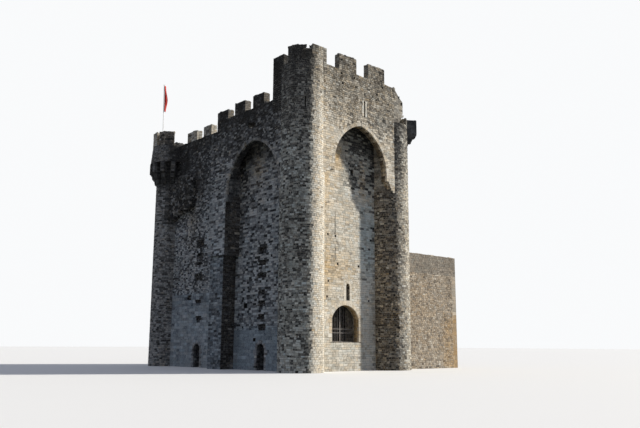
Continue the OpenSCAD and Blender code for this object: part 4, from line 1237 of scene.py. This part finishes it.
# Outlines of the scars in rows of uneven length
def ragged(rng, pockets):
    holes = []
    for y, z, wide, high in pockets:
        rows = max(2, round(high / 0.15))
        for i in range(rows):
            low = z - high / 2 + high * i / rows
            left, right = rng.uniform(-0.16, 0.12, 2)
            holes.append((y - wide / 2 + left, y + wide / 2 - right, low, low + high / rows))
    return holes


# Darker, more uneven stones around the scars
def darker_around_scars(pockets):
    return [(patch(y, z, 0.9 * wide, 1.2 * high), -0.22, 0.0, 0.5) for y, z, wide, high in pockets]


# Core of the wall, seen where stones have fallen out of its face
def pocket_cores(work, pockets):
    rng = work.rng
    for y, z, wide, high in pockets:
        rows, columns = max(1, round(high / 0.16)), max(2, round(wide / 0.2))
        for i in range(rows):
            v = z + high * ((i + 0.5) / rows - 0.5) + rng.normal(0, 0.015, columns)
            u = y + wide * ((np.arange(columns) + 0.5) / columns - 0.5) + rng.normal(0, 0.02, columns)
            x = -SIDE_X + rng.uniform(0.19, 0.27, columns)
            rough_stones(work, np.stack([x, u, v], -1), (0.07, 0.11), 0.16, 0.3, 0.15)


# The last merlon stands on the pier and is a little lower
PIER_DROP = 0.18
LEFT_MERLONS = [(-6.86, -5.43, SIDE_TOP), (-4.33, -2.90, SIDE_TOP), (-1.90, -0.35, SIDE_TOP - PIER_DROP)]
RETURN_END = -8.03
RIGHT_MERLONS = [(-8.35, -7.60, SIDE_TOP)] + LEFT_MERLONS
BAY_MERLONS = [(2.95, 4.20, BAY_TOP), (5.40, 7.00, BAY_TOP)]
TORN = [(9.42, 13.2), (8.32, 13.59), (7.40, 14.02), (6.30, 14.19), (5.29, 14.49), (5.10, 15.61),
        (5.39, 16.90), (6.06, 17.29), (7.02, 17.50), (7.69, 17.29), (7.88, 16.90), (9.42, 16.90)]
# Warmth below zero tints these shaded side walls blue, as painted sky light in shade; the smooth foot is
# paler and bluer still
RECESS_LOOK = look(0.545, -0.3, uneven(0.4),
                   (upward(3.6, 3.0), 0.16, -0.65, -0.35),
                   (upward(5.6, 4.6), -0.03, -0.1, -0.1),
                   (upward(11.5, 15.5), 0.03, 0.25),
                   (upward(16.6, 18.0), -0.34, 0.1),
                   (both(along(-3.6, -2.2), upward(8.5, 12.0)), -0.30, 0.2),
                   (patch(-3.4, 9.0, 0.5, 5.0), -0.08, 0.0),
                   (patch(-6.3, 10.0, 0.5, 5.0), 0.14, 0.0),
                   (patch(-4.3, 16.0, 0.8, 1.5), 0.22, 0.6),
                   (patch(-7.6, 8.0, 0.5, 6.0), -0.10, 0.0), *darker_around_scars(FRONT_POCKETS))
BAY_LOOK = look(0.60, -0.2, uneven(0.35),
                (upward(6.9, 6.1), 0.06, -0.5, -0.3), (upward(4.4, 3.8), 0.08, 0.0),
                (upward(12.0, 17.5), -0.31, 0.1),
                (patch(7.3, 18.9, 1.2, 1.3), -0.6, 0.1, -0.4),
                (patch(5.0, 16.6, 0.9, 2.0), -0.20, 0.3),
                (patch(5.6, 13.2, 0.9, 2.6), 0.04, 0.5),
                (patch(5.4, 11.0, 0.6, 4.0), -0.10, 0.0),
                (patch(7.6, 14.0, 0.8, 2.0), -0.12, 0.0), *darker_around_scars(REAR_POCKETS))
ARCH_LOOK = look(0.51, -0.1, uneven(0.5), (upward(16.0, 18.5), -0.30, 0.1, -0.15),
                 (patch(-8.0, 15.0, 0.6, 2.0), 0.12, 0.0))
TOP_LOOK = look(0.06, 0.1, uneven(0.15))
# Painted light: pale near flanks of merlons, which face the sun
PAINTED_SUNLIT_FLANK = look(1.0, 0.3)
# The pier too is tinted blue, as painted sky light in shade
PIER_LOOK = look(0.43, -0.7, uneven(0.15), (upward(9.0, 9.6), 0.20, 0.4, 0.2),
                 (upward(13.5, 18.0), -0.24, 0.25))


def side_walls(right):
    word = "right" if right else "left"
    work = Masonry(f"stones_{word}_walls", 31 + right)
    wall = side_of(facing_left(-SIDE_X), right)
    keep = none_of(outlet_hole(0.2))
    near = (FRONT_Y + FRONT_R - 0.02, PIER_LOW_Y)
    far = (PIER_HIGH[1], REAR_Y - REAR_R + 0.02)
    front_holes = [] if right else ragged(work.rng, FRONT_POCKETS) + oblongs(*BLACK_POCKETS)
    rear_holes = [] if right else ragged(work.rng, REAR_POCKETS)
    for span, smooth_top, way, spread, shade, holes in ((near, 3.1, ASHLAR, 0.36, RECESS_LOOK, front_holes),
                                                        (far, 6.4, RUBBLE, 0.42, BAY_LOOK, rear_holes)):
        lay(work, wall, span, (0, smooth_top), SMOOTH, keep, shade, 0.22, holes)
        lay(work, wall, span, (smooth_top, WALK), way, keep, shade, spread, holes)
    lay(work, wall, (PIER_HIGH[1], BAY_END), (WALK, SOLE), RUBBLE, None, TOP_LOOK, 0.36)
    outlet_rings(work, wall)
    if not right:
        pocket_cores(work, FRONT_POCKETS + REAR_POCKETS)
        line_holes_with_painted_shade(work, wall, oblongs(*BLACK_POCKETS), 0.28)
    work.build("stone_side")
    work = Masonry(f"stones_{word}_bay_top", 35 + right)
    lay_merlons(work, wall, BAY_MERLONS, SOLE, ASHLAR, look(0.50, 0.1, uneven(0.2)), 0.36)
    sign = 1 if right else -1
    # The bay's merlon flanks that face the sun are painted pale, as painted light
    dress_parapet(work, (sign * SIDE_X, 0, 0), (0, 1, 0), (-sign, 0, 0), PARAPET_T, (PIER_HIGH[1], BAY_END),
                  WALK, SOLE, BAY_MERLONS, look(0.6), look(0.92, 0.1))
    work.build("stone_front")
    side_pier(right, word)
    side_arch(right, word)


def side_pier(right, word):
    work = Masonry(f"stones_{word}_pier", 41 + right)
    shade = PIER_LOOK
    low_face = side_of(facing_left(PIER_LOW[0] + 0.25), right)
    lay(work, low_face, (PIER_LOW_Y - 0.02, PIER_HIGH[1] + 0.02), (0, PIER_HEAD), ASHLAR, None, shade, 0.26)
    high_face = side_of(facing_left(-ARCH_SIDE_X), right)
    wide = (PIER_LOW[1] - 0.02, PIER_HIGH[1] + 0.02)
    lay(work, high_face, wide, (PIER_HEAD, PIER_ROUGH), ASHLAR, None, shade, 0.3)
    lay(work, high_face, wide, (PIER_ROUGH, WALK), RUBBLE, None, shade, 0.4)
    # The pier's flanks toward the front are made nearly black
    near_black = look(0.12, 0.3, uneven(-0.1), (upward(9.0, 10.0), 0.08, 0.0))
    for y, sign, side_shade in ((PIER_LOW_Y, -1, near_black), (PIER_HIGH[1], 1, shade)):
        face = side_of(standing((0, y, 0), (1, 0, 0), (0, sign, 0)), right)
        lay(work, face, (PIER_LOW[0] + 0.23, -SIDE_X), (0, PIER_HEAD), ASHLAR, None, side_shade, 0.3)
    near = side_of(standing((0, PIER_LOW[1], 0), (1, 0, 0), (0, -1, 0)), right)
    lay(work, near, (-ARCH_SIDE_X - 0.02, -SIDE_X), (PIER_HEAD, 14.2), ASHLAR, None, near_black, 0.3)
    far = side_of(standing((0, PIER_HIGH[1], 0), (1, 0, 0), (0, 1, 0)), right)
    lay(work, far, (-ARCH_SIDE_X - 0.02, -SIDE_X), (PIER_HEAD, WALK), RUBBLE, None, shade, 0.36)
    work.build("stone_side")


LEFT_HOLE = [(-5.91, 19.32), (-5.52, 19.18), (-4.92, 19.24), (-4.63, 19.5), (-4.85, 19.71), (-5.67, 19.69)]


def side_arch(right, word):
    work = Masonry(f"stones_{word}_arch", 51 + right)
    surface = side_of(facing_left(-ARCH_SIDE_X), right)
    reach = math.sqrt(FRONT_R ** 2 - (ARCH_SIDE_X - SIDE_X) ** 2)
    near = FRONT_Y + reach - 0.06
    outline = [(near, SIDE_FOOT - 1.25), (FRONT_Y + 0.6, SIDE_FOOT - 1.1), (FRONT_Y + 1.0, SIDE_FOOT),
               (PIER_LOW[1], SIDE_FOOT), (PIER_LOW[1], 30), (near, 30)]
    tests = [in_pointed(SIDE_ARCH, 0.22, 8)]
    if not right:
        tests.append(in_outline(LEFT_HOLE))
    keep = all_of(in_outline(outline), none_of(*tests))
    lay(work, surface, (near, PIER_LOW[1]), (SIDE_FOOT - 1.25, ARCH_ROUGH), ASHLAR, keep, ARCH_LOOK, 0.36)
    lay(work, surface, (near, PIER_LOW[1]), (ARCH_ROUGH, WALK), RUBBLE, keep, ARCH_LOOK, 0.42)
    # The reveals are painted dark, as painted shade, the ring's nearly black at the crown
    arch_ring(work, surface, SIDE_ARCH, 0.26, ARCH_T, 0.68, 0.1, (0.35, 0.02, 0.0))
    jamb_stones(work, surface, SIDE_ARCH, SIDE_FOOT, ARCH_T, 0.55, -0.1, (0.35, 0.0))
    start = near if right else RETURN_END
    end = PIER_HIGH[1] - 0.8
    merlons = RIGHT_MERLONS if right else LEFT_MERLONS
    lay(work, surface, (start, end), (WALK, SOLE), RUBBLE, None, TOP_LOOK, 0.42)
    lay_merlons(work, surface, merlons, SOLE, RUBBLE, TOP_LOOK, 0.42)
    sign = 1 if right else -1
    dress_parapet(work, (sign * ARCH_SIDE_X, 0, 0), (0, 1, 0), (-sign, 0, 0), PARAPET_T, (start, end),
                  WALK, SOLE, merlons, look(0.6, 0.1), PAINTED_SUNLIT_FLANK)
    if not right:
        high_return(work, surface, near)
    work.build("stone_side")


# The short high wall that turns back from the high front along the left side
def high_return(work, surface, near):
    dark = look(0.0, 0.0, uneven(-0.25))
    start, end, top = RETURN_START, RETURN_END, HIGH_TOP - 0.55
    lay(work, surface, (near, end), (WALK, HIGH_SOLE - 0.25), RUBBLE, None, dark, 0.36)
    lay(work, surface, (start, end), (HIGH_SOLE - 0.25, top), RUBBLE, None, dark, 0.36)
    for y, sign, foot in ((end, 1, SOLE), (start, -1, HIGH_SOLE - 0.25)):
        flank = standing((-ARCH_SIDE_X, y, 0), (1, 0, 0), (0, sign, 0))
        lay(work, flank, (0, PARAPET_T), (foot, top), RUBBLE, None, look(0.45, 0.1), 0.36)
    inner = standing((-ARCH_SIDE_X + PARAPET_T, 0, 0), (0, 1, 0), (1, 0, 0))
    lay(work, inner, (start, end), (HIGH_WALK, top), RUBBLE, None, look(0.62, 0.1), 0.36)
    ragged_top(work, (-ARCH_SIDE_X, 0, top), (0, 1, 0), (1, 0, 0), start, end, PARAPET_T)


# Rear towers: drums and heads
HEAD_MERLONS = ((100, 128), (150, 186), (197, 247))
HEAD_INNER_R = 1.1


def rear_tower(right):
    word = "right" if right else "left"
    work = Masonry(f"stones_tower_rear_{word}", 61 + right)
    surface = side_of(drum(-SIDE_X, REAR_Y, REAR_R), right)
    way = dict(ROUND, length=(0.18, 0.34))

    def keep(u, v):
        angle = np.degrees(u / REAR_R)
        arch = (angle > 20) & (angle < 68) & (v > 12.9)
        torn = (not right) & (angle > 222) & (v > 13.1) & (v < 17.0)
        return ~(arch | torn)

    # Above the corbels' foot the drum's stones are painted dark, as painted shade in the gaps between the
    # corbels
    shade = look(0.64, -0.1, uneven(0.2), (upward(14.0, 17.0), -0.22, 0.1),
                 (upward(CORBEL_FOOT - 0.2, CORBEL_FOOT + 0.3), -0.5, 0.0, -0.2),
                 (upward(3.0, 1.0), 0.1, 0.0))
    lay(work, surface, (0, arc(REAR_R, 270)[0]), (0, HEAD_FOOT), way, keep, shade, 0.42)
    head = side_of(drum(-SIDE_X, REAR_Y, HEAD_R, 1, HEAD_R - HEAD_TOP_R, HEAD_FOOT, SOLE), right)
    # Painted shade: beyond 246 degrees the head is painted nearly black
    dark = look(0.54, 0.0, (upward(HEAD_FOOT, HEAD_FOOT + 0.4), 0.08, 0.0),
                (around(HEAD_R, along(226, 246)), -0.62, 0.0, -0.3))
    lay(work, head, arc(HEAD_R, 90, 270), (HEAD_FOOT, SOLE), RUBBLE, None, dark, 0.42)
    inner = side_of(drum(-SIDE_X, REAR_Y, HEAD_INNER_R, -1), right)
    lay(work, inner, arc(HEAD_INNER_R, 90, 270), (WALK, SOLE), RUBBLE, None, look(0.5), 0.4)
    work.build("stone_side" if right else "stone_dark")
    work = Masonry(f"stones_head_rear_{word}", 65 + right)
    # The middle merlon's outer face, which lies in shade, is painted pale, as painted light
    for (a, b), tone in zip(HEAD_MERLONS, (0.8, 0.92, 0.26)):
        shade = look(tone, 0.15, (upward(HEAD_TOP - 0.5, HEAD_TOP), 0.15, 0.0))
        lay(work, head, arc(HEAD_R, a, b), (SOLE, HEAD_TOP), RUBBLE, None, shade, 0.36)
        lay(work, inner, arc(HEAD_INNER_R, a, b), (SOLE, HEAD_TOP), RUBBLE, None, look(0.8, 0.2), 0.3)
        for angle, turn in ((a, -1), (b, 1)):
            way = np.array([math.cos(math.radians(angle)), math.sin(math.radians(angle)), 0])
            flank = side_of(standing((-SIDE_X, REAR_Y, 0), way, (-turn * way[1], turn * way[0], 0)), right)
            lay(work, flank, (HEAD_INNER_R, HEAD_TOP_R), (SOLE, HEAD_TOP), RUBBLE, None, look(0.9, 0.2), 0.3)
    rng = work.rng
    crenels = [(128, 150, SOLE), (186, 197, SOLE), (247, 268, SOLE)]
    for a, b, top in [(a, b, HEAD_TOP) for a, b in HEAD_MERLONS] + crenels:
        for out in (HEAD_TOP_R - 0.1, HEAD_TOP_R - 0.5):
            count = max(1, round(math.radians(b - a) * out / 0.26))
            angles = np.radians(np.linspace(a + 2, b - 2, count + 1))
            sign = 1 if right else -1
            places = np.stack([sign * (SIDE_X - out * np.cos(angles)), REAR_Y + out * np.sin(angles),
                               top - rng.uniform(0.03, 0.08, count + 1)], -1)
            rough_stones(work, places, (0.08, 0.13), 0.5, 0.3)
    work.build("stone_front")


# Rear wall, rear arch and their parapet
REAR_MERLONS = [(start, start + 1.4, SIDE_TOP) for start in (-4.0, -1.8, 0.4, 2.6)]


def rear_walls():
    work = Masonry("stones_rear_wall", 71)
    half = SIDE_X - REAR_R + 0.02
    shade = look(0.55, -0.1, (upward(13.0, 18.0), -0.2, 0.0))
    lay(work, facing_rear(REAR_Y), (-half, half), (0, 3.2), SMOOTH, None, shade, 0.2)
    lay(work, facing_rear(REAR_Y), (-half, half), (3.2, WALK), ASHLAR, None, shade, 0.34)
    surface = facing_rear(ARCH_REAR_Y)
    reach = SIDE_X - math.sqrt(REAR_R ** 2 - (ARCH_REAR_Y - REAR_Y) ** 2) + 0.05
    keep = none_of(in_pointed(REAR_ARCH, 0.22, 8))
    lay(work, surface, (-reach, reach), (SIDE_FOOT - 0.5, WALK), ASHLAR, keep, shade, 0.36)
    # The reveals are painted dark, as painted shade, the ring's darkest at the crown
    arch_ring(work, surface, REAR_ARCH, 0.3, REAR_ARCH_T, 0.65, 0.0, (0.4, 0.15, 0.1))
    jamb_stones(work, surface, REAR_ARCH, SIDE_FOOT, REAR_ARCH_T, 0.6, 0.0, (0.4, 0.1))
    lay(work, surface, (-SIDE_X, SIDE_X), (WALK, SOLE), RUBBLE, None, TOP_LOOK, 0.4)
    lay_merlons(work, surface, REAR_MERLONS, SOLE, RUBBLE, TOP_LOOK, 0.4)
    dress_parapet(work, (0, ARCH_REAR_Y, 0), (1, 0, 0), (0, -1, 0), PARAPET_T, (-SIDE_X, SIDE_X),
                  WALK, SOLE, REAR_MERLONS, look(0.5))
    work.build("stone_side")


# A heap of fallen stones on the terrace, behind the hole of the left arch
def heap():
    work = Masonry("stones_heap", 76)
    places = []
    for x in np.arange(-4.62, -4.0, 0.2):
        for y in np.arange(-4.9, -2.3, 0.2):
            share = 1 - ((y + 3.6) / 1.5) ** 2 - 0.5 * (x + 4.5)
            for level in range(1 + int(max(share, 0) * 4)):
                places.append((x, y, WALK + 0.08 + 0.15 * level))
    places = np.array(places) + work.rng.normal(0, 0.025, (len(places), 3)) * (1, 1, 0)
    rough_stones(work, places, (0.10, 0.16), 0.3, 0.3)
    work.build("stone_dark")


# Slabs on the terrace and on the wall walks
def paving():
    work = Masonry("stones_paving", 75)
    _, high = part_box("terrace")
    shade = look(0.5, 0.05)
    for level, left, right, start, end in ((WALK, 0.05, 0.05, FRONT_Y + 1.9, high[1]),
                                           (WALK, 1.5, 1.5, high[1], REAR_Y - 0.05),
                                           (HIGH_WALK, 1.4, 1.9, FRONT_Y + 0.05, FRONT_Y + 1.75)):
        lay(work, facing_up(level), (left - SIDE_X, SIDE_X - right), (start, end), PAVING, None, shade, 0.2)
    work.build("stone_side")


SIDE_HOLES = squares((12.95, 6.39, 0.2), (9.85, 5.54, 0.2), (10.38, 4.25, 0.16), (12.27, 4.21, 0.16),
                     (13.1, 7.8, 0.18), (9.55, 7.88, 0.14), (10.92, 7.53, 0.13))


# The wall that joins the front right tower: rubble with a restored top of regular stones
def side_wall():
    work = Masonry("stones_side_wall", 81)
    low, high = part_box("side_wall")
    band = high[2] - 1.7
    regular = dict(ASHLAR, course=(0.17, 0.21), length=(0.22, 0.4), relief=0.004)
    start, end = low[0] - 0.15, high[0] - 0.02
    shade = look(0.44, 0.1, uneven(-0.1), (patch(9.0, 5.0, 2.0, 2.0), 0.06, 0.15),
                 (both(along(11.4, 12.6), upward(5.0, 4.0)), 0.06, 0.5), (upward(4.0, 1.0), 0.06, 0.0))
    for face in (facing_front(low[1]), facing_rear(high[1])):
        lay(work, face, (start, end - 0.5), (0, band), RUBBLE, None, shade, 0.4, SIDE_HOLES)
        plain = look(0.27, -0.15, uneven(-0.4))
        lay(work, face, (start, end), (band, high[2] - 0.1), regular, None, plain, 0.5)
        last = dict(regular, course=(0.1, 0.1))
        lay(work, face, (start, end), (high[2] - 0.1, high[2]), last, None, look(0.25), 0.1)
        quoins(work, face, end, band)
        # The side wall's holes are black plates, painted shade
        painted_shade_marks(work, face, SIDE_HOLES)
    lay(work, facing_up(high[2]), (low[0], end), (low[1], high[1]), COPING, None, look(0.5), 0.3)
    work.build("stone_restored")


# Dressed blocks at the side wall's free end, long and short by turns
def quoins(work, face, end, top):
    levels = course_levels(work.rng, 0, top, (0.3, 0.4))
    rects = []
    for i, (low, high) in enumerate(pairwise(levels)):
        start = end - (0.62 if i % 2 else 0.36)
        rects.append((start, end, low, high))
        if not i % 2:
            rects.append((end - 0.62, start, low, high))
    shade = look(0.52, 0.05, (upward(5.0, 4.0), 0.0, 0.7), uneven(-0.3))
    place_stones(work, face, np.array(rects), SMOOTH, shade, 0.4)


# The torn springer on the rear left tower
def torn_springer():
    work = Masonry("stones_torn_springer", 91)
    rng = work.rng
    x0, x1 = -SIDE_X - 0.6, -SIDE_X
    outline = [(x0 + 0.08, y, z) for y, z in TORN]
    places = along_line(rng, outline[:-1], (x1 - x0 - 0.16, 0, 0), 0.24, 0.04)
    inside = in_outline(TORN)
    grid = []
    for y in np.arange(5.0, 9.5, 0.21):
        for z in np.arange(13.2, 17.6, 0.18):
            if inside(np.array(y), np.array(z)):
                grid.append((x0 + 0.05, y, z))
    grid = np.array(grid) + rng.normal(0, 0.035, (len(grid), 3))
    rough_stones(work, places, (0.09, 0.18), 0.22, 0.5)
    rough_stones(work, grid, (0.09, 0.19), 0.24, 0.6)
    work.build("stone_dark")


# Rough stones along the high front's broken end
def broken_edges():
    work = Masonry("stones_broken_edges", 92)
    rng = work.rng
    line = [(x - 0.09, ARCH_FRONT_Y + 0.04, z) for x, z in BROKEN_EDGE]
    places = along_line(rng, line, (0, ARCH_T - 0.08, 0), 0.2, 0.04)
    rough_stones(work, places, (0.08, 0.16), 0.5, 0.35)
    work.build("stone_front")


# Limp flag: a sheet in pleats that hang from the top of the pole
FLAG_CUT = (1.5, 2.6)
FLAG_PLEATS = 5
FLAG_TURN = -42
FLAG_GRID = 60


def flag():
    _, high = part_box("flag")
    foot = np.array([-SIDE_X - 1.0, REAR_Y])
    lean = math.tan(math.radians(1.1)) * np.array([-0.745, 0.668])
    turn = math.radians(FLAG_TURN)
    out = np.array([math.cos(turn), math.sin(turn)])
    side = np.array([-out[1], out[0]])
    columns = rows = FLAG_GRID
    verts = []
    for j in range(rows + 1):
        t = j / rows
        z = high[2] - t * FLAG_CUT[1]
        axis = foot + (z - WALK) * lean
        width = 0.12 + 0.22 * math.exp(-((t - 0.55) / 0.30) ** 2)
        fold = FLAG_CUT[0] / FLAG_PLEATS
        swing = math.sqrt(max(fold ** 2 - (width / FLAG_PLEATS) ** 2, 0.0001)) / 2
        line = []
        for i in range(columns + 1):
            s = i / columns * FLAG_PLEATS
            across = 0.042 + width * i / columns
            phase = s * math.pi
            wave = math.sin(phase + 0.5 * math.sin(3 * t)) * swing
            centre = axis + out * across + side * wave
            line.append((centre[0], centre[1], z - 0.06 * (i / columns) * t))
        verts.extend(line)
    stride = columns + 1
    faces = [(j * stride + i, j * stride + i + 1, (j + 1) * stride + i + 1, (j + 1) * stride + i)
             for j in range(rows) for i in range(columns)]
    mesh = bpy.data.meshes.new("flag_sheet")
    mesh.from_pydata(verts, [], faces)
    piece = linked("flag_sheet", mesh)
    mesh.materials.append(FINISH["flag_cloth"])
    mesh.polygons.foreach_set("use_smooth", [True] * len(mesh.polygons))
    thick = piece.modifiers.new("cloth", "SOLIDIFY")
    thick.thickness = 0.002
    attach(piece, "keep")
    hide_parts("flag")


# Floor, lights and camera
GROUND_SEEN = (0.82, 0.82, 0.81)
GROUND_BOUNCE = (0.11, 0.12, 0.11)


BACKDROP = (0.95, 0.96, 0.97, 1)
SKY_LIGHT = (0.72, 0.79, 1.0, 1)
SKY_STRENGTH = 0.35
SUN_COLOUR = (1.0, 0.955, 0.87)
SUN_STRENGTH = 4.75
SUN_WIDTH = 3
TO_SUN = (0.9, -0.51, 0.597)
CAMERA_PLACE = (-38.80, -49.87, 2.0)
CAMERA_TURN = (41.884, 10.464, 0.258)
LENS = 39.76
FILM = 36.0


# One for rays that come from the camera, straight or by a mirror or glass
def seen_directly(tree):
    rays = tree.nodes.new("ShaderNodeLightPath")
    direct = math_node(tree, "MAXIMUM", rays.outputs["Is Camera Ray"], rays.outputs["Is Glossy Ray"])
    return math_node(tree, "MAXIMUM", direct, rays.outputs["Is Transmission Ray"])


def stage():
    mesh = bpy.data.meshes.new("floor")
    corners = [(x * FLOOR_HALF, y * FLOOR_HALF, 0) for x, y in ((-1, -1), (1, -1), (1, 1), (-1, 1))]
    mesh.from_pydata(corners, [], [(0, 1, 2, 3)])
    floor = linked("floor", mesh)
    material, tree, shader = new_material("floor")
    finished(tree, shader, mixed(tree, seen_directly(tree), GROUND_BOUNCE, GROUND_SEEN), Roughness=0.9)
    mesh.materials.append(material)
    floor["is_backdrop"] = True
    world = bpy.data.worlds.new("studio")
    bpy.context.scene.world = world
    world.use_nodes = True
    tree = world.node_tree
    back = tree.nodes["Background"]
    back.inputs["Color"].default_value = SKY_LIGHT
    back.inputs["Strength"].default_value = SKY_STRENGTH
    seen = tree.nodes.new("ShaderNodeBackground")
    seen.inputs["Color"].default_value = BACKDROP
    choose = tree.nodes.new("ShaderNodeMixShader")
    tree.links.new(seen_directly(tree), choose.inputs["Fac"])
    tree.links.new(back.outputs["Background"], choose.inputs[1])
    tree.links.new(seen.outputs["Background"], choose.inputs[2])
    tree.links.new(choose.outputs["Shader"], tree.nodes["World Output"].inputs["Surface"])
    lamp = bpy.data.lights.new("key", "SUN")
    lamp.energy = SUN_STRENGTH
    lamp.angle = math.radians(SUN_WIDTH)
    lamp.color = SUN_COLOUR
    key = linked("key", lamp)
    key.rotation_euler = Vector(TO_SUN).to_track_quat("Z", "Y").to_euler()


def camera():
    yaw, pitch, roll = (math.radians(angle) for angle in CAMERA_TURN)
    ahead = Vector((math.sin(yaw) * math.cos(pitch), math.cos(yaw) * math.cos(pitch), math.sin(pitch)))
    level = Vector((math.cos(yaw), -math.sin(yaw), 0))
    up = level.cross(ahead)
    right = level * math.cos(roll) + up * math.sin(roll)
    top = up * math.cos(roll) - level * math.sin(roll)
    data = bpy.data.cameras.new("camera")
    data.lens = LENS
    data.sensor_width = FILM
    data.clip_end = FAR
    view = linked("camera", data)
    rows = [(right[i], top[i], -ahead[i], CAMERA_PLACE[i]) for i in range(3)]
    view.matrix_world = Matrix((*rows, (0, 0, 0, 1)))
    bpy.context.scene.camera = view


camera()
stage()
finish_nodes()
front_recess()
front_arch_wall()
front_towers()
for right in (False, True):
    side_walls(right)
    rear_tower(right)
rear_walls()
paving()
heap()
hanging_box()
side_wall()
torn_springer()
broken_edges()
flag()

bpy.context.scene.view_settings.view_transform = "Standard"
